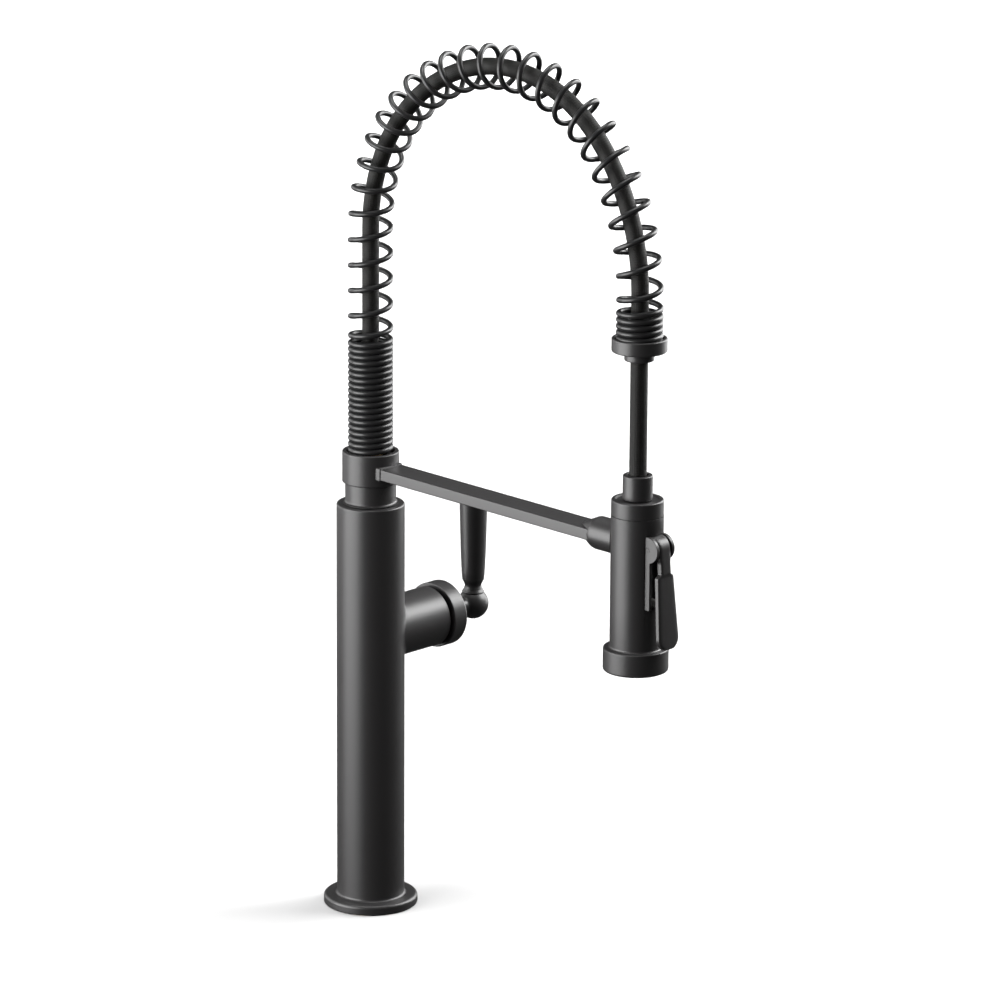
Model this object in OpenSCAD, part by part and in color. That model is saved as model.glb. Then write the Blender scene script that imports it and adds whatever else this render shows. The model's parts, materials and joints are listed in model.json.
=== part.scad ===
// Spring-arch kitchen faucet with a docked pull-down spray head.
// Frame: origin at the centre of the base flange's underside, +Z up, the spout
// arm along -Y, the mixing valve and its handle along +X. Sizes in millimetres.

/* [Deck flange] */
// Radius of the round base flange
flange_r = 30.4; // [28:0.1:34]
// Height of the base flange
flange_h = 6.4; // [4:0.1:9]
// Radius of the threaded shank that goes through the deck
shank_r = 16; // [15:0.1:17]
// Length of the shank below the deck
shank_drop = 55; // [30:1:80]
// How far the two water inlet tubes reach below the deck
inlet_drop = 90; // [80:1:150]

/* [Column] */
// Outer radius of the column
column_r = 21.85; // [20:0.05:24]
// Height of the column's top shoulder
column_top = 268.6; // [250:0.1:300]
// Wall thickness of the column tube
column_wall = 2.65; // [2:0.05:4]

/* [Spout arm] */
// Radius of the neck that turns on the column
neck_r = 16.3; // [15.5:0.1:18]
// Radius of the collar that carries the arm
collar_r = 18.15; // [17.5:0.05:20]
// Height where the collar starts
collar_bottom = 282.6; // [280:0.1:284]
// Height of the collar's top rim
collar_top = 303.1; // [301:0.1:305]
// Distance from the column's axis to the spray head's axis
reach = 229.5; // [215:0.5:240]
// Width of the flat arm
arm_w = 19.2; // [16:0.1:19.4]
// Height of the flat arm
arm_h = 7.4; // [6:0.1:7.4]
// Height of the arm's centre line
arm_z = 291.9; // [291:0.1:292.5]
// Slope of the arm down to its dock in degrees
arm_slope = 1.1; // [1:0.05:1.2]
// Radius of the dock barrel on the arm's end
barrel_r = 10.4; // [10.35:0.05:11]

/* [Spring and hose] */
// Outer radius of the arch spring
spring_r = 14.5; // [14:0.1:15]
// Diameter of the spring wire
wire_d = 3.5; // [3:0.1:3.6]
// Closed turns at the foot of the spring
foot_turns = 18.6; // [16:0.1:19]
// Open turns over the arch
open_turns = 29.3; // [24:0.1:30]
// Closed turns in the end ferrule
tip_turns = 4.5; // [3:0.5:5]
// Outer diameter of the spray hose
hose_d = 10.8; // [10:0.1:11]
// Height where the hose starts to bend
arch_rise = 447.5; // [440:0.5:460]
// Radius of the arch's first bend
bend_1 = 119; // [116:1:122]
// Angle of the first bend
turn_1 = 81; // [78:1:84]
// Radius of the arch's crown
bend_2 = 106; // [103:1:108]
// Angle of the crown
turn_2 = 60; // [57:1:63]

/* [Mixing valve] */
// Height of the valve's axis
valve_z = 181.8; // [175:0.1:186]
// Radius of the valve housing
housing_r = 19.5; // [19:0.1:20.5]
// Distance of the housing's end from the column's axis
housing_end = 53.8; // [53:0.1:54]
// Radius of the handle hub
hub_r = 21.3; // [20:0.1:23]
// Distance of the lever ball's centre from the column's axis
ball_x = 94.5; // [92:0.1:98]
// Radius of the lever ball
ball_r = 10.2; // [9.5:0.1:10.6]
// Height of the lever's top
lever_top = 256; // [230:1:260]

/* [Spray head] */
// Radius of the spray head's barrel
head_r = 16.2; // [16.1:0.05:16.4]
// Radius of the nozzle ring
nozzle_r = 20.2; // [19.8:0.1:21]
// Lowest point of the spray head
head_bottom = 207.3; // [207:0.1:207.6]
// Top of the spray head's cap
head_top = 315.8; // [315.6:0.1:316]
// Radius of the hose nut
nut_r = 9.2; // [8.8:0.1:9.6]
// Resting slope of the spray lever's paddle in degrees
paddle_slope = 4.8; // [4.6:0.1:5.2]

/* [Hidden] */
$fn = 96;

bore_r = column_r - column_wall;   // inside of the column
hose_r = hose_d / 2;
hose_bore_r = 3.5;
barb_r = 3.35;                     // nipple inside the hose's 12-sided bore
hose_start = 302.7;                // the hose's lower end, on its nipple
hose_break = 402;                  // where the hose leaves the ferrule's guide
ball_joint_z = hose_break - 5.7;   // the point the hose's free end swings about
tube_r = 4.75;                     // inlet tubes' plain ends
sleeve_r = 5.1;                    // inlet tubes above their plain ends
tube_y = 7.6;                      // inlet tubes' distance from the axis
shank_bore_r = 13.2;
thread_r = 15;                     // shank's upper end, screwed into the flange
post_r = 11;                       // post that the neck turns on
fit = 0.05;                        // radial clearance of a running fit
post_top = 296.2;
dome_x = 62;                       // point the handle tilts about
dome_r = 10.8;
socket_r = dome_r + 0.3;
hub_start = housing_end + 2.3;
hub_end = 68;
barrel_x = 50.2;                   // end of the valve block's side barrel
stem_r = 9.5;
spring_start = 302.2;              // wire centre of the spring's first turn
spring_seat = 413;                 // wire centre of the spring's last turn
spring_c = spring_r - wire_d / 2;  // radius of the wire's centre line
foot_pitch = 3.87;
ease_turns = 2;                    // open turns over which the pitch grows
head_in_r = head_r - 2;            // inside of the head shell
seam_z = 306;                      // joint between head cap and head shell
ring_top = 221.8;
dock_z = arm_z - 215 * tan(arm_slope);  // the arm's height at the spray head's wall
lever_y = 15.7;                    // spray lever's pivot, out from the head's axis
lever_z = 287.4;
ear_r = 8.2;
slot_x = 5.6;                      // half the gap between the bracket's ears
bracket_x = 7.9;                   // half the bracket's width
bracket_z = 249.4;                 // bottom of the lever bracket
plunger_z = 252.4;
plunger_r = 2.6;

black = [0.13, 0.13, 0.14];
dark = [0.07, 0.07, 0.07];
brass = [0.72, 0.58, 0.32];
steel = [0.7, 0.7, 0.72];
rubber = [0.1, 0.1, 0.1];

// ---- shapes that repeat ------------------------------------------------

// Points of an arc about centre c, from angle a to angle b.
function arc(c, r, a, b, n = 6) =
    [for (i = [0:n]) let (t = a + (b - a) * i / n) c + r * [cos(t), sin(t)]];

// Tube along +Z between two heights.
module tube(outer, inner, low, high) {
    translate([0, 0, low]) difference() {
        cylinder(r = outer, h = high - low);
        translate([0, 0, -1]) cylinder(r = inner, h = high - low + 2);
    }
}

// Rod along +Z between two heights.
module rod(r, low, high) {
    translate([0, 0, low]) cylinder(r = r, h = high - low);
}

// Ring of round section.
module o_ring(r, section) {
    rotate_extrude() translate([r, 0]) circle(r = section, $fn = 24);
}

// Lays the valve's pieces out: their own Z becomes the valve's axis, +X.
module on_valve() {
    translate([0, 0, valve_z]) rotate([0, 90, 0]) children();
}

// Lays pieces along the arm: their own Z points along -Y from the column's axis.
module on_arm() {
    translate([0, 0, arm_z]) rotate([90 + arm_slope, 0, 0]) children();
}

// Moves pieces to the spray head's axis, with their front still towards -Y.
module on_head() {
    translate([0, -reach, 0]) children();
}

// A bar in the head that runs out along -Y at height z, between two distances.
module head_bar(r, z, from, to) {
    translate([0, -from, z]) rotate([90, 0, 0]) cylinder(r = r, h = to - from);
}

// A block in the head: half its width, its two distances along -Y, its heights.
module head_block(half, from, to, low, high) {
    translate([-half, -to, low]) cube([2 * half, to - from, high - low]);
}

// ---- the arch ----------------------------------------------------------
// The arch lies in the YZ plane: up, three tangent bends, and down. Each bend
// is a centre, a radius and two headings, 0 pointing up and 180 down.

function on_bend(c, r, t) = c + r * [cos(t), sin(t)];
centre_1 = [-bend_1, arch_rise];
end_1 = on_bend(centre_1, bend_1, turn_1);
centre_2 = end_1 - bend_2 * [cos(turn_1), sin(turn_1)];
heading_2 = turn_1 + turn_2;
end_2 = on_bend(centre_2, bend_2, heading_2);
bend_3 = (reach + end_2[0]) / (1 + cos(heading_2));
centre_3 = end_2 - bend_3 * [cos(heading_2), sin(heading_2)];
fall = centre_3[1];

rad = PI / 180;
run_0 = arch_rise - spring_start;
run_1 = run_0 + bend_1 * turn_1 * rad;
run_2 = run_1 + bend_2 * turn_2 * rad;
run_3 = run_2 + bend_3 * (180 - heading_2) * rad;
spring_run = run_3 + fall - spring_seat;

// Heading of the arch at a distance along it from the spring's start.
function heading(s) =
    s < run_0 ? 0 :
    s < run_1 ? (s - run_0) / bend_1 / rad :
    s < run_2 ? turn_1 + (s - run_1) / bend_2 / rad :
    s < run_3 ? heading_2 + (s - run_2) / bend_3 / rad : 180;

// Point [y, z] of the arch at a distance along it.
function on_arch(s) =
    s < run_0 ? [0, spring_start + s] :
    s < run_1 ? on_bend(centre_1, bend_1, heading(s)) :
    s < run_2 ? on_bend(centre_2, bend_2, heading(s)) :
    s < run_3 ? on_bend(centre_3, bend_3, heading(s)) : [-reach, fall - (s - run_3)];

// ---- the spring's pitch ------------------------------------------------
// The closed turns have one pitch. Over the first and last open turns the
// pitch swells smoothly, and between them it is even.

foot_run = foot_turns * foot_pitch;
tip_run = tip_turns * foot_pitch;
open_run = spring_run - foot_run - tip_run;
open_pitch = foot_pitch + (open_run - foot_pitch * open_turns) / (open_turns - ease_turns);

// Area under the swelling pitch, in turns, after n of the open turns.
function swell(x) = x * x * x - x * x * x * x / 2;
function swollen(n) =
    n < ease_turns ? ease_turns * swell(n / ease_turns) :
    n < open_turns - ease_turns ? n - ease_turns / 2 :
    open_turns - ease_turns - ease_turns * swell((open_turns - n) / ease_turns);

// Distance along the arch after n turns of the whole spring.
function wound(n) =
    n < foot_turns ? n * foot_pitch :
    n < foot_turns + open_turns ?
        foot_run + foot_pitch * (n - foot_turns)
        + (open_pitch - foot_pitch) * swollen(n - foot_turns) :
    foot_run + open_run + (n - foot_turns - open_turns) * foot_pitch;

// Wire centre after n turns, and one point of the wire's section there.
function wire_frame(n) =
    let (s = wound(n), h = heading(s), p = on_arch(s), a = 360 * n)
    [[0, p[0], p[1]], [1, 0, 0] * cos(a) + [0, cos(h), sin(h)] * sin(a), [0, -sin(h), cos(h)]];
function wire_point(n, k, sides) =
    let (f = wire_frame(n), b = 360 * k / sides)
    f[0] + f[1] * (spring_c + wire_d / 2 * cos(b)) + f[2] * wire_d / 2 * sin(b);

module wire_coil(turns, steps, sides) {
    rings = floor(turns * steps);
    points = [for (i = [0:rings], k = [0:sides - 1]) wire_point(i / steps, k, sides)];
    walls = [for (i = [0:rings - 1], k = [0:sides - 1])
        let (a = i * sides, b = a + sides, j = (k + 1) % sides) each
        [[a + k, b + k, b + j], [a + k, b + j, a + j]]];
    start = [for (k = [0:sides - 1]) k];
    end = [for (k = [sides - 1:-1:0]) rings * sides + k];
    polyhedron(points, concat(walls, [start, end]), convexity = 20);
}

// ---- column ------------------------------------------------------------

module base_flange() {
    boss_r = bore_r - 0.2;
    gasket_seat = 1.7;
    edge = 1;
    round_r = 2.2;
    color(black) difference() {
        rotate_extrude() polygon(concat(
            [[thread_r, 0]],
            arc([flange_r - edge, edge], edge, -90, 0),
            arc([flange_r - round_r, flange_h - round_r], round_r, 0, 90),
            [[boss_r, flange_h], [boss_r, 16], [thread_r, 16]]));
        tube(26.6, 22.9, -1, gasket_seat);
    }
}

module deck_gasket() {
    color(rubber) tube(26.5, 23, 0, 1.7);
}

module mounting_shank() {
    color(brass) difference() {
        union() {
            rod(shank_r, -shank_drop, 0);
            rod(thread_r, -1, 16);
        }
        rod(shank_bore_r, -shank_drop - 1, 17);
    }
}

module column_shell() {
    flare = 1.75;
    rim = 1.2;
    roof = column_top - 3.2;
    color(black) difference() {
        rotate_extrude() polygon(concat(
            [[bore_r, flange_h]],
            arc([column_r + flare, flange_h + flare], flare, -90, -180),
            arc([column_r - rim, column_top - rim], rim, 0, 90),
            [[post_r + 1.6, column_top], [post_r + 1.6, roof], [bore_r, roof]]));
        on_valve() rod(17.55, 0, 30);
    }
}

module inlet_tube(side) {
    plain = 28;
    translate([0, side * tube_y, 0]) difference() {
        union() {
            rod(tube_r, -inlet_drop, -inlet_drop + plain + 1);
            rod(sleeve_r, -inlet_drop + plain, valve_z - 14);
        }
        rod(3.6, -inlet_drop - 1, valve_z - 13);
    }
}

module hot_inlet_tube() {
    color(brass) inlet_tube(1);
}

module cold_inlet_tube() {
    color(brass) inlet_tube(-1);
}

module outlet_tube() {
    color(brass) tube(5, 4, valve_z + 12, 257);
}

// ---- mixing valve ------------------------------------------------------

module valve_block() {
    color(brass) difference() {
        union() {
            rod(14, valve_z - 24, valve_z + 22);
            on_valve() rod(17.4, -6, barrel_x);
        }
        on_valve() {
            rod(15, 14, barrel_x + 1);
            rod(16.4, 43.2, barrel_x + 1);
            for (y = [-1, 1]) translate([3, y * tube_y, 0]) rod(2.5, 0, 15);
            translate([-7, 0, 0]) rod(3, 0, 15);
        }
        for (y = [-1, 1]) translate([0, y * tube_y, 0]) {
            rod(sleeve_r, valve_z - 25, valve_z - 14);
            rod(3, valve_z - 15, valve_z - 2);
        }
        rod(5, valve_z + 12, valve_z + 23);
        rod(3, valve_z + 6, valve_z + 13);
    }
}

module valve_housing() {
    edge = 0.7;
    color(black) difference() {
        on_valve() rotate_extrude() polygon(concat(
            [[17.5, 0], [housing_r, 0]],
            arc([housing_r - edge, housing_end - edge], edge, 0, 90),
            [[17.5, housing_end]]));
        rod(column_r, valve_z - 30, valve_z + 30);
    }
}

module housing_spacer() {
    color(dark) on_valve() tube(17.4, 12.9, barrel_x, hub_start - 0.3);
}

module valve_cartridge() {
    color("white") on_valve() difference() {
        rod(14.95, 14.2, 43);
        rod(stem_r + fit, 37.5, 44);
        for (p = seal_places()) translate(p) rod(3.5, 14, 15.4);
        for (p = seal_places()) translate(p) rod(2, 14, 24);
    }
}

function seal_places() = [[3, tube_y, 0], [3, -tube_y, 0], [-7, 0, 0]];

module cartridge_seals() {
    color(rubber) on_valve() for (p = seal_places()) translate(p) tube(3.4, 2.4, 14.2, 15.4);
}

module cartridge_nut() {
    color(brass) on_valve() difference() {
        tube(16.35, 12.9, 43.2, barrel_x);
        for (a = [0:60:300]) rotate(a) translate([14.6, 0, barrel_x]) cylinder(r = 1.2, h = 4, center = true);
    }
}

module handle_hub() {
    edge = 0.6;
    round_r = 1.8;
    color(black) on_valve() difference() {
        rotate_extrude() polygon(concat(
            [[stem_r, 46], [12.6, 46], [12.6, hub_start]],
            arc([hub_r - edge, hub_start + edge], edge, -90, 0),
            arc([hub_r - round_r, hub_end - round_r], round_r, 0, 90),
            [[0.01, hub_end], [0.01, dome_x], [stem_r, dome_x]]));
        translate([0, 0, dome_x]) sphere(r = socket_r);
    }
}

module cartridge_stem() {
    color(steel) on_valve() difference() {
        rod(stem_r, 38, 50.8);
        rod(6.2, 44, 52);
    }
}

module handle_ball() {
    neck = 5.4;
    color(black) difference() {
        on_valve() union() {
            difference() {
                translate([0, 0, dome_x]) sphere(r = dome_r);
                rod(dome_r + 1, dome_x - 12, dome_x - 5.4);
            }
            rod(neck, dome_x, ball_x);
            rod(1.6, dome_x - 11, dome_x);
            translate([0, 0, ball_x]) sphere(r = ball_r);
        }
        translate([ball_x, 0, 0]) rod(2.5, valve_z - 2, valve_z + 12);
    }
}

module handle_lever() {
    foot_z = valve_z + 7.2;
    waist_z = valve_z + 12.7;
    hip_z = valve_z + 20.5;
    cap_r = 3.2;
    top_r = 9.1;
    color(black) translate([ball_x, 0, 0]) difference() {
        rotate_extrude() polygon(concat(
            [[2.5, foot_z], [6.6, foot_z], [7.2, foot_z + 0.8], [6.8, foot_z + 1.8]],
            arc([7.6, waist_z], 2.4, 225, 135),
            arc([hip_z - valve_z - 16.2, hip_z - 3], 3.1, -30, 10),
            [[8.2, valve_z + 36]],
            arc([top_r - cap_r, lever_top - cap_r], cap_r, 0, 90),
            [[0.01, lever_top], [0.01, valve_z + 20], [2.5, valve_z + 20]]));
        translate([0, 0, valve_z]) sphere(r = ball_r);
    }
}

module lever_stud() {
    color(steel) translate([ball_x, 0, 0]) rod(2.5, valve_z - 1.5, valve_z + 19.5);
}

// ---- swivel ------------------------------------------------------------

seal_heights = [276, 284];
clip_z = 290.9;

module swivel_post() {
    color(brass) difference() {
        union() {
            rod(8, 250, 259);
            rod(18.6, 258, column_top - 3.2);
            rod(post_r, 260, post_top);
        }
        rod(5, 249, 257);
        rod(4, 256, post_top + 1);
        for (z = seal_heights) tube(post_r + 1, 9.2, z - 1, z + 1);
        tube(post_r + 1, 9.9, clip_z - 0.1, clip_z + 1.3);
    }
}

module swivel_seals() {
    color(rubber) for (z = seal_heights) translate([0, 0, z]) o_ring(10.1, 0.9);
}

module swivel_washer() {
    color("white") tube(14.3, 11.3, column_top, column_top + 0.9);
}

module retaining_clip() {
    color(steel) difference() {
        tube(12.2, 10, clip_z, clip_z + 1.2);
        translate([0, 9, clip_z - 1]) cube([7, 8, 4], center = false);
    }
}

// ---- spout arm ---------------------------------------------------------

module spout_neck() {
    foot = column_top + 0.35;
    washer_roof = column_top + 0.95;
    flare = 1.5;
    color(black) rotate_extrude() polygon(concat(
        [[14.6, foot], [neck_r + flare, foot]],
        arc([neck_r + flare, foot + 0.4 + flare], flare, -90, -180),
        [[neck_r, collar_bottom], [13.9, collar_bottom], [13.9, 299.6], [5, 299.6], [5, 296.6],
         [post_r + fit, 296.6], [post_r + fit, 292.6], [12.6, 292.6], [12.6, 290.4],
         [post_r + fit, 290.4], [post_r + fit, washer_roof], [14.6, washer_roof]]));
}

module arm_collar() {
    edge = 0.8;
    color(black) difference() {
        rotate_extrude() polygon(concat(
            [[13.9, collar_bottom]],
            arc([collar_r - edge, collar_bottom + edge], edge, -90, 0),
            arc([collar_r - edge, collar_top - edge], edge, 0, 90),
            [[15.4, collar_top], [15.4, 299.6], [13.9, 299.6]]));
        translate([0, 20, arm_z]) rotate([90, 0, 0]) cylinder(r = 2, h = 8);
    }
}

module collar_set_screw() {
    color(steel) translate([0, collar_r - 0.6, arm_z]) rotate([90, 0, 0]) difference() {
        cylinder(r = 2, h = 3.6);
        translate([0, 0, -1]) cylinder(r = 1.1, h = 3, $fn = 6);
    }
}

// Section of the flat arm: a rectangle with rounded corners.
module arm_section(w, h, r) {
    square([w - 2 * r, h], center = true);
    square([w, h - 2 * r], center = true);
    for (x = [-1, 1], y = [-1, 1])
        translate([x * (w / 2 - r), y * (h / 2 - r)]) circle(r = r, $fn = 32);
}

module dock_arm() {
    color(black) difference() {
        on_arm() union() {
            translate([0, 0, 12]) linear_extrude(197.5 - 12) arm_section(arm_w, arm_h, 0.8);
            translate([0, 0, 12]) linear_extrude(6.6) arm_section(arm_w + 1.6, arm_h + 1.6, 1.5);
        }
        rod(collar_r, arm_z - 20, arm_z + 20);
    }
}

module dock_barrel() {
    color(black) difference() {
        on_arm() rotate_extrude() polygon(
            [[0, 186], [5.2, 186], [barrel_r, 198], [barrel_r, 218], [7, 218], [7, 203], [0, 203]]);
        on_arm() linear_extrude(197.5) arm_section(arm_w, arm_h, 0.8);
        on_head() rod(head_r + 0.3, arm_z - 20, arm_z + 20);
    }
}

module dock_magnet() {
    color(steel) on_arm() rod(6.9, 203, 209);
}

module dock_pad() {
    color(rubber) difference() {
        on_arm() rod(6.9, 209, 218);
        on_head() rod(head_r + 0.3, arm_z - 20, arm_z + 20);
    }
}

// ---- spring and hose ---------------------------------------------------

module arch_spring() {
    color(black) wire_coil(foot_turns + open_turns + tip_turns, 12, 6);
}

module hose_nipple() {
    color(brass) difference() {
        union() {
            rod(5, 296.8, 300);
            translate([0, 0, 299.6]) cylinder(r = 8, h = 3.1, $fn = 6);
            rod(barb_r, 302, 320);
        }
        rod(2.2, 296, 321);
    }
}

module lower_crimp() {
    color(steel) tube(6.5, hose_r, 303.4, 319);
}

// Distances along the arch where the hose has a ring: its ends and, between
// them, even steps through each bend.
bend_ends = [run_0, run_1, run_2, run_3];
hose_steps = 12;
hose_stops = concat(
    [hose_start - spring_start],
    [for (b = [0:2], i = [0:hose_steps - 1])
        bend_ends[b] + (bend_ends[b + 1] - bend_ends[b]) * i / hose_steps],
    [run_3, run_3 + fall - hose_break]);

// One ring of n points about the arch, at distance s along it.
function hose_ring(s, r, n) =
    let (h = heading(s), p = on_arch(s))
    [for (k = [0:n - 1]) let (a = 360 * k / n)
        [r * cos(a), p[0] + r * sin(a) * cos(h), p[1] + r * sin(a) * sin(h)]];

module hose_arch() {
    n = 12;
    rings = len(hose_stops);
    inner = rings * n;
    points = concat(
        [for (s = hose_stops) each hose_ring(s, hose_r, n)],
        [for (s = hose_stops) each hose_ring(s, hose_bore_r, n)]);
    walls = [for (i = [0:rings - 2], k = [0:n - 1])
        let (a = i * n, b = a + n, j = (k + 1) % n) each
        [[a + k, b + k, b + j], [a + k, b + j, a + j],
         [inner + a + k, inner + b + j, inner + b + k], [inner + a + k, inner + a + j, inner + b + j]]];
    ends = [for (k = [0:n - 1]) let (j = (k + 1) % n, e = (rings - 1) * n) each
        [[k, j, inner + j], [k, inner + j, inner + k],
         [e + k, inner + e + j, e + j], [e + k, inner + e + k, inner + e + j]]];
    color(dark) polyhedron(points, concat(walls, ends), convexity = 10);
}

module spring_ferrule() {
    low = 408;
    high = 416.5;
    edge = 0.8;
    color(black) on_head() rotate_extrude() polygon(concat(
        [[8, low]],
        arc([17 - edge, low + edge], edge, -90, 0),
        arc([17 - edge, high - edge], edge, 0, 90),
        [[14.9, high], [14.9, 411], [8, 411]]));
}

module hose_guide() {
    edge = 0.8;
    color(black) on_head() rotate_extrude() polygon(concat(
        [[hose_r + 0.1, hose_break + 0.3]],
        arc([nut_r - edge, hose_break + 0.3 + edge], edge, -90, 0),
        [[nut_r, 408], [8, 408], [8, 414], [hose_r + 0.1, 414]]));
}

module hose_stop_ring() {
    color(steel) on_head() tube(8.6, hose_r, 414, 418);
}

module hose_drop() {
    color(dark) on_head() difference() {
        union() {
            translate([0, 0, ball_joint_z]) sphere(r = hose_r);
            rod(hose_r, 322.5, ball_joint_z);
        }
        rod(hose_bore_r, 321, ball_joint_z - 3);
    }
}

module hose_nut() {
    high = 330.8;
    low = head_top - 0.5;
    edge = 0.8;
    color(black) on_head() rotate_extrude() polygon(concat(
        [[5, low]],
        arc([nut_r - edge, low + edge], edge, -90, 0),
        arc([nut_r - edge, high - edge], edge, 0, 90),
        [[6.4, high], [6.4, high - 2], [hose_r, high - 2], [hose_r, 322.5], [5, 322.5]]));
}

module swivel_stem() {
    color(brass) on_head() difference() {
        union() {
            rod(5, 294, 322.5);
            rod(8, 306.9, 308.95);
            rod(hose_bore_r, 322, 336);
        }
        rod(2.2, 293, 337);
    }
}

// ---- spray head --------------------------------------------------------

module head_cap() {
    cap_r = head_r - 0.1;
    edge = 1;
    dish = 0.8;
    color(black) on_head() difference() {
        rotate_extrude() polygon(concat(
            [[11.3, seam_z - 6.5], [head_in_r, seam_z - 6.5], [head_in_r, seam_z], [cap_r, seam_z]],
            arc([cap_r - edge, head_top - edge], edge, 0, 90),
            [[13.4, head_top], [13.4, head_top - dish], [5 + fit, head_top - dish],
             [5 + fit, 309], [11.3, 309]]));
        tube(head_in_r + 1, 12.3, seam_z - 4.5, seam_z - 2.5);
    }
}

module cap_seal() {
    color(rubber) on_head() translate([0, 0, seam_z - 3.5]) o_ring(13.2, 0.9);
}

module head_shell() {
    color(black) on_head() difference() {
        tube(head_r, head_in_r, 214, seam_z - 0.3);
        head_block(bracket_x, 10, 20, bracket_z, lever_z + ear_r);
    }
}

module head_keeper() {
    color(steel) on_head() intersection() {
        translate([0, 11.4, dock_z]) rotate([-90, 0, 0]) cylinder(r = 6, h = 4);
        rod(head_in_r, dock_z - 10, dock_z + 10);
    }
}

module nozzle_ring() {
    edge = 1.4;
    fillet = 1.3;
    color(black) on_head() rotate_extrude() polygon(concat(
        [[17.4, head_bottom]],
        arc([nozzle_r - edge, head_bottom + edge], edge, -90, 0),
        arc([nozzle_r - 0.9, ring_top - 0.9], 0.9, 0, 90),
        arc([head_r + fillet, ring_top + fillet], fillet, -90, -180),
        [[head_r, 214], [17.4, 214]]));
}

module spray_face() {
    color(rubber) on_head() difference() {
        union() {
            rod(17.4, 208.3, 211.4);
            for (ring = [[10, 12], [14.2, 20]], i = [0:ring[1] - 1]) rotate(360 * i / ring[1])
                translate([ring[0], 0, 207.6]) cylinder(r = 0.9, h = 1.5, $fn = 24);
        }
        rod(7, 207, 212);
    }
}

module spray_plate() {
    color("white") on_head() difference() {
        rod(17.4, 211.4, 213.9);
        rod(7, 211, 215);
        for (ring = [[10, 12], [14.2, 20]], i = [0:ring[1] - 1]) rotate(360 * i / ring[1])
            translate([ring[0], 0, 211]) cylinder(r = 0.6, h = 4, $fn = 24);
    }
}

module aerator() {
    color(steel) on_head() tube(6.9, 5.6, 208, 219);
}

module aerator_screen() {
    color(steel) on_head() difference() {
        rod(5.6, 210, 210.6);
        for (ring = [[0, 1], [1.8, 6], [3.6, 12]], i = [0:ring[1] - 1])
            rotate(360 * i / ring[1]) translate([ring[0], 0, 209]) cylinder(r = 0.5, h = 3, $fn = 16);
    }
}

module flow_body() {
    color("white") on_head() difference() {
        union() {
            rod(11, 219, 304);
            rod(14, 215, 222);
        }
        rod(5 + fit, 292, 305);
        rod(6, 270, 293);
        rod(3, 230, 271);
        rod(7, 214, 231);
        head_bar(plunger_r + fit, plunger_z, -8, 12);
    }
}

module check_valve() {
    color("white") on_head() tube(5.9, 2, 271, 287);
}

module lever_bracket() {
    color(black) on_head() difference() {
        union() {
            translate([-bracket_x, -lever_y, lever_z]) rotate([0, 90, 0])
                cylinder(r = ear_r, h = 2 * bracket_x);
            head_block(bracket_x, 11.2, lever_y, lever_z - ear_r, lever_z + ear_r);
            head_block(bracket_x, 11.2, 17.7, bracket_z, lever_z);
        }
        head_block(slot_x, 12.2, 30, bracket_z - 1, lever_z + 20);
        head_block(bracket_x + 1, 0, 11.2, bracket_z, lever_z + 20);
        head_bar(plunger_r + 0.3, plunger_z, 10, 14);
        translate([-10, -lever_y, lever_z]) rotate([0, 90, 0]) cylinder(r = 1.5, h = 20);
    }
}

module lever_pin() {
    color(black) on_head() translate([-bracket_x, -lever_y, lever_z]) rotate([0, 90, 0])
        cylinder(r = 1.5, h = 2 * bracket_x);
}

// Front view of the lever's paddle, which widens from a shoulder to a round end.
// x is across the lever, y is down its length from the pivot.
module paddle_outline() {
    shoulder = 7.1;
    tip = 8.9;
    tip_round = 7.5;
    length = 62.6;
    polygon(concat(
        [[-4.4, 15], [4.4, 15], [shoulder, 17.4]],
        arc([tip - tip_round, length - tip_round], tip_round, 0, 90),
        arc([tip_round - tip, length - tip_round], tip_round, 90, 180),
        [[-shoulder, 17.4]]));
}

module spray_lever() {
    knuckle = 7.9;
    back = 3.4;
    neck = 4.4;
    pin_clear = 1.5 + fit;
    color(black) on_head() translate([0, -lever_y, lever_z]) rotate([-paddle_slope, 0, 0]) difference() {
        union() {
            translate([-slot_x + 0.3, 0, 0]) rotate([0, 90, 0])
                cylinder(r = knuckle, h = 2 * slot_x - 0.6);
            translate([-neck, -knuckle, -18]) cube([2 * neck, knuckle - back, 18]);
            translate([0, -back, 0]) rotate([90, 180, 0]) linear_extrude(4) paddle_outline();
        }
        translate([-10, 2.2, -20]) cube([20, 20, 40]);
        translate([-10, 0, 0]) rotate([0, 90, 0]) cylinder(r = pin_clear, h = 20);
    }
}

module plunger() {
    tip = 21.4;
    color("white") on_head() union() {
        head_bar(plunger_r, plunger_z, 3, tip - 0.6);
        head_bar(plunger_r - 0.5, plunger_z, 3, tip);
    }
}

module plunger_spring() {
    turns = 5;
    low = -7;
    high = 2.8;
    wire = 0.35;
    r = 2.1;
    steps = 12;
    sides = 6;
    rings = turns * steps;
    points = [for (i = [0:rings], k = [0:sides - 1])
        let (a = 360 * i / steps, b = 360 * k / sides, q = r + wire * cos(b))
        [q * cos(a), -(low + wire + (high - low - 2 * wire) * i / rings) + wire * sin(b), q * sin(a)]];
    walls = [for (i = [0:rings - 1], k = [0:sides - 1])
        let (a = i * sides, b = a + sides, j = (k + 1) % sides) each
        [[a + k, b + k, b + j], [a + k, b + j, a + j]]];
    start = [for (k = [0:sides - 1]) k];
    end = [for (k = [sides - 1:-1:0]) rings * sides + k];
    color(steel) on_head() translate([0, 0, plunger_z])
        polyhedron(points, concat(walls, [start, end]), convexity = 10);
}

// ---- the assembly ------------------------------------------------------

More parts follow.
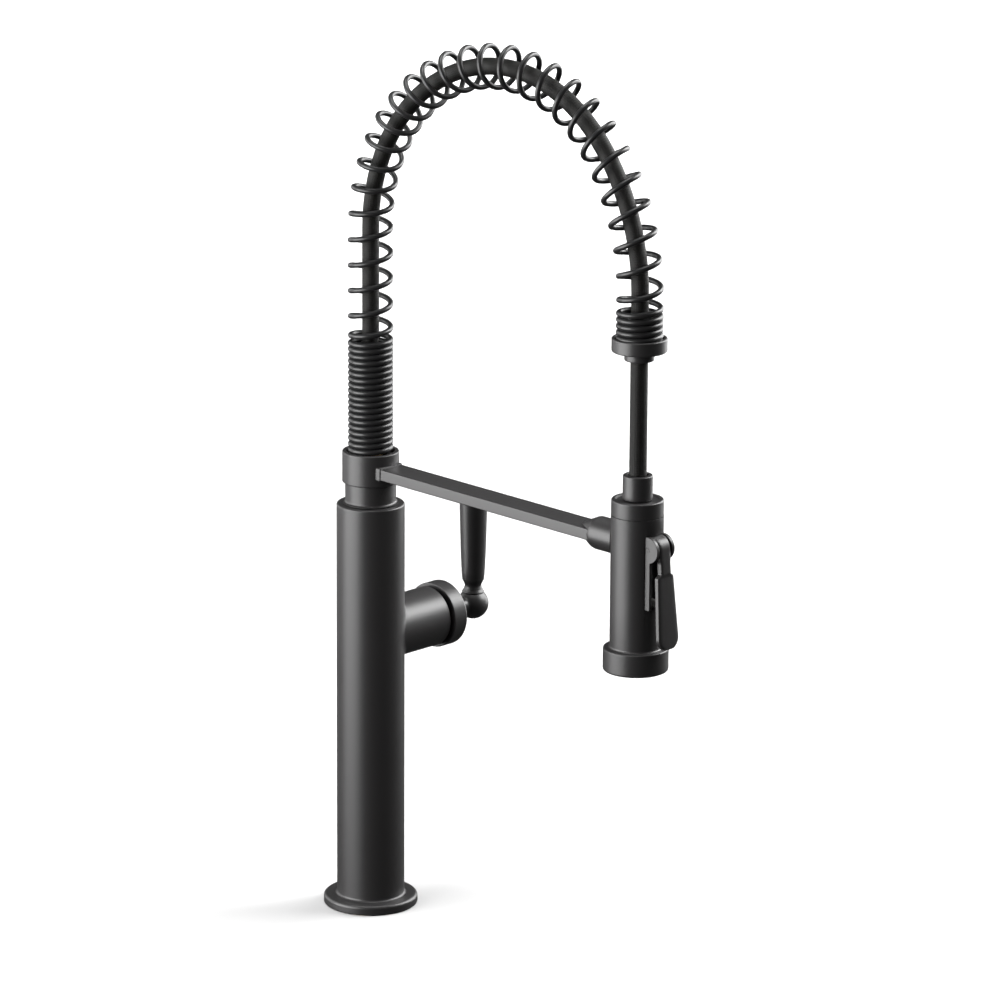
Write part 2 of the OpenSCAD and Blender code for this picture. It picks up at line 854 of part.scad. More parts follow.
base_flange();
deck_gasket();
mounting_shank();
column_shell();
hot_inlet_tube();
cold_inlet_tube();
outlet_tube();
valve_block();
valve_housing();
housing_spacer();
valve_cartridge();
cartridge_nut();
cartridge_seals();
swivel_post();
swivel_seals();
swivel_washer();
retaining_clip();
handle_hub();
cartridge_stem();
handle_ball();
handle_lever();
lever_stud();
spout_neck();
arm_collar();
collar_set_screw();
dock_arm();
dock_barrel();
dock_magnet();
dock_pad();
arch_spring();
hose_nipple();
lower_crimp();
hose_arch();
spring_ferrule();
hose_guide();
hose_stop_ring();
hose_drop();
hose_nut();
swivel_stem();
head_cap();
cap_seal();
head_shell();
head_keeper();
nozzle_ring();
spray_face();
spray_plate();
aerator();
aerator_screen();
flow_body();
check_valve();
lever_bracket();
lever_pin();
spray_lever();
plunger();
plunger_spring();
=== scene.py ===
"""Looks of a spring-arch kitchen faucet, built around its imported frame.

Every length in this file is in millimetres and every angle in degrees. They become
metres and radians once, where a mesh, a light or a shader is written. Places and main
sizes are read from the frame's nodes, and the classes hold only the details the frame
doesn't have: edge rounds, fillets, threads, braids and finishes.
"""

import json
import logging
import math
from collections.abc import Mapping, Sequence
from dataclasses import dataclass, field
from enum import Enum
from typing import Any, Protocol

import bmesh
import bpy
import numpy as np
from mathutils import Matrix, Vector
from numpy.typing import NDArray


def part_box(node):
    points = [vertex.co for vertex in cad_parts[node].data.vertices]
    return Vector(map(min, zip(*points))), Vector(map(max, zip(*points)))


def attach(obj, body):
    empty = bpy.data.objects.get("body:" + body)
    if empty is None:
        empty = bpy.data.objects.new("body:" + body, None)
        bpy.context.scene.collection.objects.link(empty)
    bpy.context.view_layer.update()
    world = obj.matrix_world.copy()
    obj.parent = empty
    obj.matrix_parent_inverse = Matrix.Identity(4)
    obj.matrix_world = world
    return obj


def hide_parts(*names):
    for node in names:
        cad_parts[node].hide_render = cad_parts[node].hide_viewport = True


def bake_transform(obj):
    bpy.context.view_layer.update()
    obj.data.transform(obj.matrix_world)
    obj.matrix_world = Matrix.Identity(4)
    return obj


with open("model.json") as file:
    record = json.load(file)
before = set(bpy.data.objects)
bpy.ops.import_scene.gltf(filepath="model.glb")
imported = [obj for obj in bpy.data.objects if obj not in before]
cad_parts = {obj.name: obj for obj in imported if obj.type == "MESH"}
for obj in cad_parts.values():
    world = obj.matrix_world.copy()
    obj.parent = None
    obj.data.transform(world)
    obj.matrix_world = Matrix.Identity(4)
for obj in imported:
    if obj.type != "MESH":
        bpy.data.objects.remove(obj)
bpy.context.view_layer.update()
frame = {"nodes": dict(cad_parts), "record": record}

Points = NDArray[np.float64]
Colour = tuple[float, float, float]
Corner = tuple[float, float, float]

MM = 0.001
LOG = logging.getLogger("faucet")


class Body(Enum):
    """The frame's moving bodies."""

    COLUMN = "column"
    SPOUT = "spout"
    HOSE_END = "hose_end"
    SPRAY_HEAD = "spray_head"
    SPRAY_LEVER = "spray_lever"
    PLUNGER = "plunger"
    HUB = "handle_hub"
    HANDLE = "handle"


class Slot(Enum):
    """The record's material slots."""

    SATIN_BLACK = "satin_black"
    SPRING_BLACK = "spring_black"
    HOSE = "hose"
    RUBBER = "rubber"
    NOZZLE_RUBBER = "nozzle_rubber"
    BLACK_PLASTIC = "black_plastic"
    CARTRIDGE_PLASTIC = "cartridge_plastic"
    WHITE_PLASTIC = "white_plastic"
    BRASS = "brass"
    COPPER = "copper"
    STEEL = "steel"


# ---- outlines ----------------------------------------------------------------


def arc(centre: tuple[float, float], radius: float, start: float, end: float, steps: int = 8) -> Points:
    """Points of a circle's arc: centre + radius * (cos t, sin t).

    Args:
        centre: The circle's centre.
        radius: The circle's radius.
        start: The first point's angle, in degrees from the first axis.
        end: The last point's angle.
        steps: How many chords the arc has.

    Returns:
        An array of steps + 1 points.
    """
    t = np.radians(np.linspace(start, end, steps + 1))
    return np.array(centre) + radius * np.stack([np.cos(t), np.sin(t)], axis=-1)


def distinct(points: Points) -> Points:
    """The points without those that repeat the one before."""
    gap = np.linalg.norm(np.diff(points, axis=0), axis=1)
    return points[np.concatenate([[True], gap > 1e-6])]


def rounded(corners: Sequence[Corner], steps: int = 6) -> Points:
    """An outline whose corners are rounded by arcs that touch both of their sides.

    With u and v the unit vectors from a corner to its neighbours and h half the angle
    between them, the arc's centre lies r / sin(h) along u + v, and its ends lie
    r / tan(h) along u and v. The arc is the spherical blend of its two end radii.

    Args:
        corners: Each corner's two coordinates and its rounding radius.
        steps: How many chords each rounded corner has.

    Returns:
        The outline's points. Corners of radius 0 stay single points.
    """
    data = np.asarray(corners, float)
    place, radius = data[:, :2], data[:, 2:]
    back = np.roll(place, 1, axis=0) - place
    on = np.roll(place, -1, axis=0) - place
    u = back / np.linalg.norm(back, axis=1, keepdims=True)
    v = on / np.linalg.norm(on, axis=1, keepdims=True)
    half = np.arccos(np.clip(np.sum(u * v, axis=1, keepdims=True), -1, 1)) / 2
    half = np.clip(half, 1e-3, math.pi / 2 - 1e-3)
    bend = u + v
    bend /= np.maximum(np.linalg.norm(bend, axis=1, keepdims=True), 1e-9)
    centre = place + bend * radius / np.sin(half)
    first = (place + u * radius / np.tan(half) - centre)[:, None]
    last = (place + v * radius / np.tan(half) - centre)[:, None]
    turn = (math.pi - 2 * half)[:, None]
    share = np.linspace(0, 1, steps + 1)[None, :, None]
    blend = (np.sin((1 - share) * turn) * first + np.sin(share * turn) * last) / np.sin(turn)
    return distinct((centre[:, None] + blend).reshape(-1, 2))


def joined(*parts: Points | Sequence[tuple[float, float]]) -> Points:
    """One outline from several stretches of it, in order."""
    return distinct(np.vstack([np.asarray(p, float).reshape(-1, 2) for p in parts]))


# ---- surfaces ----------------------------------------------------------------


@dataclass(frozen=True)
class Grid:
    """A surface as a grid of points, rows by columns, which may close on itself.

    Attributes:
        points: The grid's points, an array of rows x columns x 3.
        rows_close: Whether the last row joins the first.
        columns_close: Whether the last column joins the first.
        along: Distance of each row for the piece's UV map, and one more if rows close.
        round: Share of each column for the piece's UV map, and one more if columns close.
        keep: Which of the grid's faces are kept, or None for all.
    """

    points: Points
    rows_close: bool = False
    columns_close: bool = True
    along: Points | None = None
    round: Points | None = None
    keep: NDArray[np.bool_] | None = None

    def corners(self) -> tuple[NDArray[np.int64], NDArray[np.int64]]:
        """Row and column of each face's four corners, before they wrap round."""
        rows, columns = self.points.shape[:2]
        i = np.arange(rows if self.rows_close else rows - 1)
        j = np.arange(columns if self.columns_close else columns - 1)
        i, j = (part.ravel() for part in np.meshgrid(i, j, indexing="ij"))
        if self.keep is not None:
            i, j = i[self.keep.ravel()], j[self.keep.ravel()]
        return np.stack([i, i, i + 1, i + 1], axis=-1), np.stack([j, j + 1, j + 1, j], axis=-1)

    def faces(self) -> NDArray[np.int64]:
        """The four points of each face, as places in the flattened grid."""
        rows, columns = self.points.shape[:2]
        i, j = self.corners()
        return (i % rows) * columns + j % columns

    def uv(self) -> Points:
        """The UV of each face's corners: share round the piece, and distance along it."""
        i, j = self.corners()
        if self.along is None or self.round is None:
            return np.zeros((i.size, 2))
        return np.stack([self.round[j.ravel()], self.along[i.ravel()]], axis=-1)

    def moved(self, offset: tuple[float, float, float]) -> "Grid":
        """The same surface, moved by an offset."""
        return Grid(self.points + np.array(offset), self.rows_close, self.columns_close,
                    self.along, self.round, self.keep)


@dataclass(frozen=True)
class Seat:
    """Where a turned part sits: its origin and the directions of its own three axes."""

    origin: tuple[float, float, float]
    x: tuple[float, float, float] = (1, 0, 0)
    y: tuple[float, float, float] = (0, 1, 0)
    z: tuple[float, float, float] = (0, 0, 1)

    def place(self, x: Points, y: Points, z: Points) -> Points:
        """The row-frame points of local coordinates x, y and z, which broadcast together."""
        x, y, z = np.broadcast_arrays(x, y, z)
        axes = np.array([self.x, self.y, self.z], float)
        return np.array(self.origin, float) + np.stack([x, y, z], axis=-1) @ axes


def turn_angles(segments: int) -> Points:
    """Angles of a full turn in radians, without the last."""
    return np.linspace(0, 2 * math.pi, segments, endpoint=False)


def revolve(outline: Points, seat: Seat, closed: bool = True, segments: int = 128) -> Grid:
    """The surface an outline sweeps about a seat's Z: (r cos a, r sin a, h).

    Args:
        outline: Points (r, h), distance from the axis and height along it.
        seat: Where the axis lies.
        closed: Whether the outline is a loop. An open one ends on the axis.
        segments: How many columns the surface has.

    Returns:
        The surface.
    """
    a = turn_angles(segments)[None]
    r, h = outline[:, :1], outline[:, 1:]
    return Grid(seat.place(r * np.cos(a), r * np.sin(a), h), rows_close=closed)


def sweep(centre: Points, side: Points, up: Points, radius: Points, sides: int) -> Grid:
    """A round bar along a path: centre + r (cos b side + sin b up), ring after ring.

    Its first and last rings shrink to points, which closes its ends.

    Args:
        centre: The path's points.
        side: Unit vector across the path at each point.
        up: Unit vector across the path and across side at each point.
        radius: The bar's radius at each point.
        sides: How many points each ring has.

    Returns:
        The surface, with its UV map: share round the bar, and distance along it.
    """
    b = turn_angles(sides)[None, :, None]
    step = np.linalg.norm(np.diff(centre, axis=0), axis=1)
    along = np.concatenate([[0], np.cumsum(step)])
    ring = np.cos(b) * side[:, None] + np.sin(b) * up[:, None]
    scale = np.broadcast_to(np.asarray(radius, float), len(centre)).copy()
    scale[[0, -1]] = 0
    points = centre[:, None] + ring * scale[:, None, None]
    return Grid(points, along=along, round=np.linspace(0, 1, sides + 1))


# ---- shaders -----------------------------------------------------------------

Value = "Signal | float"


class Signal:
    """One value in a shader. Sums and products of it add Math nodes."""

    def __init__(self, graph: "Graph", socket: bpy.types.NodeSocket) -> None:
        """Wraps a socket of a graph."""
        self.graph = graph
        self.socket = socket

    def maths(self, operation: str, *values: Value) -> "Signal":
        """The result of a Math node on values, of which this is usually one."""
        node = self.graph.node("ShaderNodeMath", {"operation": operation}, dict(enumerate(values)))
        return Signal(self.graph, node.outputs[0])

    def __add__(self, other: Value) -> "Signal":
        """self + other."""
        return self.maths("ADD", self, other)

    __radd__ = __add__

    def __mul__(self, other: Value) -> "Signal":
        """self * other."""
        return self.maths("MULTIPLY", self, other)

    __rmul__ = __mul__

    def __sub__(self, other: Value) -> "Signal":
        """self - other."""
        return self.maths("SUBTRACT", self, other)

    def __rsub__(self, other: Value) -> "Signal":
        """other - self."""
        return self.maths("SUBTRACT", other, self)

    def __truediv__(self, other: Value) -> "Signal":
        """self / other."""
        return self.maths("DIVIDE", self, other)

    def __mod__(self, other: Value) -> "Signal":
        """self modulo other."""
        return self.maths("FLOORED_MODULO", self, other)

    def fold(self) -> "Signal":
        """A row of round humps, one for each whole step of self: abs(sin(pi self))."""
        return self.maths("ABSOLUTE", (self * math.pi).maths("SINE", self * math.pi))

    def floor(self) -> "Signal":
        """The whole number below self."""
        return self.maths("FLOOR", self)


class Graph:
    """A material's node tree, with a Principled surface that the finishes fill in."""

    def __init__(self, name: str, settings: Mapping[str, Any]) -> None:
        """Makes the material and sets the sockets that are the same all over it."""
        self.material = bpy.data.materials.new(name)
        self.material.use_nodes = True
        self.tree = self.material.node_tree
        self.tree.nodes.clear()
        self.surface = self.node("ShaderNodeBsdfPrincipled", inputs=settings)
        self.node("ShaderNodeOutputMaterial", inputs={"Surface": self.surface.outputs["BSDF"]})
        self.place = self.node("ShaderNodeTexCoord")

    def node(self, kind: str, settings: Mapping[str, Any] | None = None,
             inputs: Mapping[Any, Any] | None = None) -> bpy.types.Node:
        """Adds a node.

        Args:
            kind: The node's type.
            settings: Its properties, which are set first.
            inputs: The value, Signal or socket for each of its sockets.

        Returns:
            The node.
        """
        made = self.tree.nodes.new(kind)
        for key, value in (settings or {}).items():
            setattr(made, key, value)
        for key, value in (inputs or {}).items():
            source = value.socket if isinstance(value, Signal) else value
            if isinstance(source, bpy.types.NodeSocket):
                self.tree.links.new(source, made.inputs[key])
            else:
                made.inputs[key].default_value = source
        return made

    def spot(self, stretch: tuple[float, float, float] = (1, 1, 1),
             source: str = "Object") -> bpy.types.NodeSocket:
        """Coordinates on the piece, each axis multiplied by its part of stretch."""
        mapping = self.node("ShaderNodeMapping", {"vector_type": "POINT"},
                            {"Vector": self.place.outputs[source], "Scale": stretch})
        return mapping.outputs["Vector"]

    def noise(self, size: float, detail: float = 2, stretch: tuple[float, float, float] = (1, 1, 1),
              source: str = "Object") -> Signal:
        """Noise from 0 to 1 whose blotches measure size, in millimetres of the coordinates used."""
        scale = 1 / (size * MM) if source == "Object" else 1 / size
        made = self.node("ShaderNodeTexNoise", {"noise_dimensions": "3D"},
                         {"Vector": self.spot(stretch, source), "Scale": scale, "Detail": detail})
        return Signal(self, made.outputs["Fac"])

    def mixed(self, share: Signal, first: Colour, second: Colour) -> bpy.types.NodeSocket:
        """A colour that goes from first to second as share goes from 0 to 1."""
        made = self.node("ShaderNodeMix", {"data_type": "RGBA"},
                         {0: share, 6: (*first, 1.0), 7: (*second, 1.0)})
        return made.outputs[2]

    def bump(self, height: Signal, depth: float) -> bpy.types.NodeSocket:
        """A normal from a height of 0 to 1, with its depth in millimetres."""
        made = self.node("ShaderNodeBump", inputs={"Height": height, "Distance": depth * MM, "Strength": 1.0})
        return made.outputs["Normal"]

    def give(self, **links: Signal | bpy.types.NodeSocket) -> bpy.types.Material:
        """Links values to the surface's sockets, named with _ for a space, and returns the material."""
        for name, value in links.items():
            source = value.socket if isinstance(value, Signal) else value
            self.tree.links.new(source, self.surface.inputs[name.replace("_", " ")])
        return self.material


class Finish(Protocol):
    """Anything that can make a material."""

    name: str

    def make(self) -> bpy.types.Material:
        """Makes the material."""


@dataclass(frozen=True)
class PowderCoat:
    """Baked satin coat: fine powder grain on a faint orange peel, over smooth metal."""

    name: str
    light: Colour = (0.026, 0.0248, 0.0254)
    dark: Colour = (0.020, 0.0191, 0.0195)
    roughness: float = 0.42
    ior: float = 1.6
    peel: float = 1.6
    peel_depth: float = 0.004
    grain: float = 0.16
    grain_depth: float = 0.0016
    drift: float = 38.0

    def make(self) -> bpy.types.Material:
        """Mixes two blacks by slow drift and grain, and bumps the peel and the grain."""
        graph = Graph(self.name, {"IOR": self.ior})
        grain = graph.noise(self.grain, detail=3)
        peel = graph.noise(self.peel, detail=1)
        drift = graph.noise(self.drift, detail=2)
        height = grain * (self.grain_depth / self.peel_depth) + peel
        return graph.give(
            Base_Color=graph.mixed(grain * 0.6 + drift * 0.4, self.dark, self.light),
            Roughness=(grain - 0.5) * 0.10 + (drift - 0.5) * 0.05 + self.roughness,
            Normal=graph.bump(height, self.peel_depth))


@dataclass(frozen=True)
class CoatedWire:
    """Drawn spring wire under a thin semi-gloss coat, with faint lines along the wire."""

    name: str
    light: Colour = (0.022, 0.022, 0.0225)
    dark: Colour = (0.012, 0.012, 0.0125)
    roughness: float = 0.36
    line: float = 0.035
    stretch: float = 0.012
    line_depth: float = 0.004
    grain: float = 0.22

    def make(self) -> bpy.types.Material:
        """Streaks run along the wire on its UV map, and grain breaks the gloss."""
        graph = Graph(self.name, {"IOR": 1.5})
        lines = graph.noise(self.line, detail=2, stretch=(1, self.stretch, 1), source="UV")
        grain = graph.noise(self.grain, detail=2)
        return graph.give(
            Base_Color=graph.mixed(lines * 0.5 + grain * 0.5, self.dark, self.light),
            Roughness=(grain - 0.5) * 0.16 + (lines - 0.5) * 0.12 + self.roughness,
            Normal=graph.bump(lines * 0.5 + grain * 0.5, self.line_depth))


@dataclass(frozen=True)
class BraidedSleeve:
    """Fine braid over a hose: two crossing sets of yarns that pass over and under.

    With n yarns each way and a lay L, p = n u + v / L and q = n u - v / L count the
    yarns of the two sets. Where floor(p) + floor(q) is even the first set is on top.
    """

    name: str
    yarns: int = 24
    lay: float = 1.5
    light: Colour = (0.007, 0.0066, 0.0052)
    dark: Colour = (0.002, 0.0018, 0.0016)
    roughness: float = 0.56
    depth: float = 0.16
    fibre: float = 0.09

    def make(self) -> bpy.types.Material:
        """Builds the weave from the UV map, with fibre streaks in the yarns, and paints shade between the
        yarns: the colour darkens where the weave's height falls towards each yarn's edge.
        """
        graph = Graph(self.name, {"IOR": 1.38})
        split = graph.node("ShaderNodeSeparateXYZ", inputs={"Vector": graph.place.outputs["UV"]})
        turn = Signal(graph, split.outputs["X"]) * self.yarns
        length = Signal(graph, split.outputs["Y"]) / self.lay
        first, second = turn + length, turn - length
        over = (first.floor() + second.floor()) % 2.0
        height = first.fold() * (1 - over) + second.fold() * over
        fibre = graph.noise(self.fibre, detail=2)
        # Painted shade between the yarns: the colour follows the weave's height, darker at the yarns' edges,
        # plus random fibre tone.
        gap_shade_and_fibre = height * 0.8 + fibre * 0.3
        return graph.give(
            Base_Color=graph.mixed(gap_shade_and_fibre, self.dark, self.light),
            Roughness=self.roughness + (fibre - 0.5) * 0.2,
            Normal=graph.bump(height * 0.85 + fibre * 0.15, self.depth))


@dataclass(frozen=True)
class TurnedMetal:
    """Bare metal off a lathe: fine tool lines across one axis, and a slow stain."""

    name: str
    bright: Colour
    stained: Colour
    roughness: float = 0.28
    line: float = 0.12
    squeeze: tuple[float, float, float] = (0.04, 0.04, 1.0)
    line_depth: float = 0.0015
    stain: float = 9.0

    def make(self) -> bpy.types.Material:
        """Tool lines come from noise squeezed along the part's axis."""
        graph = Graph(self.name, {"Metallic": 1.0})
        lines = graph.noise(self.line, detail=2, stretch=self.squeeze)
        stain = graph.noise(self.stain, detail=4)
        return graph.give(
            Base_Color=graph.mixed(stain, self.stained, self.bright),
            Roughness=(lines - 0.5) * 0.18 + (stain - 0.5) * 0.14 + self.roughness,
            Normal=graph.bump(lines, self.line_depth))


@dataclass(frozen=True)
class Moulding:
    """Moulded plastic or rubber: spark-eroded grain and a slightly uneven gloss."""

    name: str
    light: Colour
    dark: Colour
    roughness: float = 0.45
    grain: float = 0.3
    grain_depth: float = 0.003
    ior: float = 1.5

    def make(self) -> bpy.types.Material:
        """Grain drives colour, gloss and bump together."""
        graph = Graph(self.name, {"IOR": self.ior})
        grain = graph.noise(self.grain, detail=3)
        flow = graph.noise(self.grain * 40, detail=2)
        return graph.give(
            Base_Color=graph.mixed(grain * 0.5 + flow * 0.5, self.dark, self.light),
            Roughness=(grain - 0.5) * 0.15 + (flow - 0.5) * 0.08 + self.roughness,
            Normal=graph.bump(grain, self.grain_depth))


SATIN = PowderCoat("satin_black_coat")
WIRE = CoatedWire("spring_wire_coat")
BRAID = BraidedSleeve("hose_braid")
RUBBER = Moulding("seal_rubber", (0.030, 0.030, 0.030), (0.016, 0.016, 0.016), roughness=0.62)
NOZZLE_RUBBER = Moulding("nozzle_silicone", (0.085, 0.085, 0.088), (0.06, 0.06, 0.062), roughness=0.55)
BLACK_PLASTIC = Moulding("black_acetal", (0.014, 0.014, 0.0145), (0.008, 0.008, 0.008), roughness=0.5)
GREY_PLASTIC = Moulding("cartridge_nylon", (0.42, 0.42, 0.41), (0.34, 0.34, 0.33), roughness=0.4)
WHITE_PLASTIC = Moulding("white_acetal", (0.70, 0.69, 0.66), (0.62, 0.61, 0.58), roughness=0.38)
BRASS = TurnedMetal("turned_brass", (0.78, 0.58, 0.28), (0.60, 0.42, 0.20))
COPPER = TurnedMetal("drawn_copper", (0.85, 0.47, 0.32), (0.62, 0.30, 0.19), squeeze=(1.0, 1.0, 0.03))
STEEL = TurnedMetal("stainless_steel", (0.62, 0.62, 0.63), (0.50, 0.50, 0.51))

SLOT_FINISH: dict[Slot, Finish] = {
    Slot.SATIN_BLACK: SATIN,
    Slot.SPRING_BLACK: WIRE,
    Slot.HOSE: BRAID,
    Slot.RUBBER: RUBBER,
    Slot.NOZZLE_RUBBER: NOZZLE_RUBBER,
    Slot.BLACK_PLASTIC: BLACK_PLASTIC,
    Slot.CARTRIDGE_PLASTIC: GREY_PLASTIC,
    Slot.WHITE_PLASTIC: WHITE_PLASTIC,
    Slot.BRASS: BRASS,
    Slot.COPPER: COPPER,
    Slot.STEEL: STEEL,
}


class PaintShop:
    """Makes each finish once and puts it on the pieces."""

    def __init__(self) -> None:
        """Starts with no materials made."""
        self.made: dict[str, bpy.types.Material] = {}

    def material(self, finish: Finish) -> bpy.types.Material:
        """The material of a finish, made on first use."""
        if finish.name not in self.made:
            self.made[finish.name] = finish.make()
        return self.made[finish.name]

    def dress(self, piece: bpy.types.Object, finish: Finish) -> None:
        """Gives a piece one material in place of any it has."""
        piece.data.materials.clear()
        piece.data.materials.append(self.material(finish))

    def dress_frame_nodes(self) -> None:
        """Gives every frame node that still shows the finish of its material slot."""
        slots = {part["node"]: part["material_slot"] for part in frame["record"]["subparts"]}
        for name, node in frame["nodes"].items():
            if not node.hide_render:
                self.dress(node, SLOT_FINISH[Slot(slots[name])])
                LOG.info("frame node %s wears %s", name, slots[name])


# ---- pieces ------------------------------------------------------------------


@dataclass(frozen=True)
class Part:
    """What a new piece is: its name, body, slot and the frame nodes it stands for."""

    name: str
    body: Body
    slot: Slot
    nodes: tuple[str, ...]
    sharp: float = 38.0


class Bench:
    """Makes meshes into pieces, and puts them on their bodies."""

    def __init__(self, shop: PaintShop) -> None:
        """Takes the paint shop that dresses the pieces."""
        self.shop = shop

    @staticmethod
    def mesh(name: str, grids: Sequence[Grid], turn_out: bool = True) -> bpy.types.Object:
        """Writes grids into one mesh, merges its seams and poles and turns its faces out.

        Args:
            name: The piece's name.
            grids: Its surfaces, in millimetres.
            turn_out: Whether the normals are recalculated, which needs closed surfaces.

        Returns:
            The new object, which stands at the origin.
        """
        starts = np.cumsum([0] + [g.points[..., 0].size for g in grids])
        vertices = np.concatenate([g.points.reshape(-1, 3) for g in grids]) * MM
        faces = np.concatenate([g.faces() + s for g, s in zip(grids, starts)])
        mesh = bpy.data.meshes.new(name)
        mesh.from_pydata(vertices.tolist(), [], faces.tolist())
        layer = mesh.uv_layers.new(name="UVMap")
        layer.data.foreach_set("uv", np.concatenate([g.uv() for g in grids]).ravel())
        welded = bmesh.new()
        welded.from_mesh(mesh)
        bmesh.ops.remove_doubles(welded, verts=welded.verts, dist=2e-6)
        if turn_out:
            bmesh.ops.recalc_face_normals(welded, faces=welded.faces)
        welded.to_mesh(mesh)
        welded.free()
        piece = bpy.data.objects.new(name, mesh)
        bpy.context.scene.collection.objects.link(piece)
        return piece

    def finish(self, piece: bpy.types.Object, part: Part, finish: Finish | None = None) -> bpy.types.Object:
        """Shades a piece, dresses it, puts it on its body and lets it stand for its nodes."""
        piece.data.shade_smooth()
        piece.data.set_sharp_from_angle(angle=math.radians(part.sharp))
        weighted = piece.modifiers.new("face_weighted_shading", "WEIGHTED_NORMAL")
        weighted.keep_sharp = True
        self.shop.dress(piece, finish or SLOT_FINISH[part.slot])
        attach(piece, part.body.value)
        if part.nodes:
            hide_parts(*part.nodes)
        LOG.info("%s: %d faces on %s", piece.name, len(piece.data.polygons), part.body.value)
        return piece

    def build(self, part: Part, grids: Sequence[Grid], finish: Finish | None = None) -> bpy.types.Object:
        """Makes a finished piece from closed surfaces."""
        return self.finish(self.mesh(part.name, grids), part, finish)


# ---- sizes from the frame ----------------------------------------------------


def node_box(name: str) -> tuple[Points, Points]:
    """The lowest and highest corners of a frame node, in millimetres."""
    low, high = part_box(name)
    return np.array(low) / MM, np.array(high) / MM


@dataclass(frozen=True)
class Plan:
    """The faucet's main sizes, read from the frame."""

    flange_r: float
    flange_h: float
    column_top: float
    column_flared_r: float
    valve_z: float
    housing_r: float
    housing_end: float
    hub_r: float
    hub_end: float
    ball_x: float
    ball_tip: float
    lever_top: float
    lever_r: float
    neck_bottom: float
    collar_r: float
    collar_bottom: float
    collar_top: float
    arm_z: float
    arm_slope: float
    arm_end: float
    barrel_r: float
    reach: float
    head_r: float
    head_bottom: float
    head_top: float
    shell_top: float
    nozzle_r: float
    nut_r: float
    nut_top: float
    guide_bottom: float
    ferrule_bottom: float
    ferrule_top: float
    ferrule_r: float
    spring_r: float
    bracket_bottom: float
    plunger_z: float
    plunger_r: float

    @classmethod
    def read(cls) -> "Plan":
        """Reads each size from the node that shows it."""
        box = {n: node_box(n) for n in frame["nodes"]}

        def low(node: str, axis: int) -> float:
            return float(box[node][0][axis])

        def high(node: str, axis: int) -> float:
            return float(box[node][1][axis])

        def half(node: str, axis: int) -> float:
            return (high(node, axis) - low(node, axis)) / 2

        def middle(node: str, axis: int) -> float:
            return (high(node, axis) + low(node, axis)) / 2

        return cls(
            flange_r=half("base_flange", 0), flange_h=low("column_shell", 2),
            column_top=high("column_shell", 2), column_flared_r=half("column_shell", 1),
            valve_z=middle("valve_housing", 2), housing_r=half("valve_housing", 2),
            housing_end=high("valve_housing", 0), hub_r=half("handle_hub", 2),
            hub_end=high("handle_hub", 0), ball_x=middle("handle_lever", 0),
            ball_tip=high("handle_ball", 0), lever_top=high("handle_lever", 2),
            lever_r=half("handle_lever", 1), neck_bottom=low("spout_neck", 2),
            collar_r=half("arm_collar", 0), collar_bottom=low("arm_collar", 2),
            collar_top=high("arm_collar", 2), arm_z=middle("collar_set_screw", 2),
            arm_slope=math.atan2(middle("collar_set_screw", 2) - middle("dock_magnet", 2),
                                 -middle("dock_magnet", 1)),
            arm_end=-low("dock_arm", 1), barrel_r=half("dock_barrel", 0),
            reach=-middle("nozzle_ring", 1), head_r=half("head_shell", 0),
            head_bottom=low("nozzle_ring", 2), head_top=high("head_cap", 2),
            shell_top=high("head_shell", 2), nozzle_r=half("nozzle_ring", 0), nut_r=half("hose_nut", 0),
            nut_top=high("hose_nut", 2), guide_bottom=low("hose_guide", 2),
            ferrule_bottom=low("spring_ferrule", 2), ferrule_top=high("spring_ferrule", 2),
            ferrule_r=half("spring_ferrule", 0), spring_r=half("arch_spring", 0),
            bracket_bottom=low("lever_bracket", 2), plunger_z=middle("plunger", 2),
            plunger_r=half("plunger", 0))

    @property
    def column_seat(self) -> Seat:
        """The column's axis, up from the deck."""
        return Seat((0, 0, 0))

    @property
    def valve_seat(self) -> Seat:
        """The valve's axis, out along +X from the column's axis."""
        return Seat((0, 0, self.valve_z), x=(0, 0, -1), y=(0, 1, 0), z=(1, 0, 0))

    @property
    def arm_seat(self) -> Seat:
        """The arm's axis, out along -Y from the column's axis and slightly down."""
        across, along = math.sin(self.arm_slope), math.cos(self.arm_slope)
        return Seat((0, 0, self.arm_z), x=(1, 0, 0), y=(0, -across, along), z=(0, -along, -across))

    @property
    def head_seat(self) -> Seat:
        """The spray head's axis, up from the deck."""
        return Seat((0, -self.reach, 0))

    @property
    def lever_seat(self) -> Seat:
        """The handle lever's axis, up from the deck."""
        return Seat((self.ball_x, 0, 0))


# ---- the column --------------------------------------------------------------


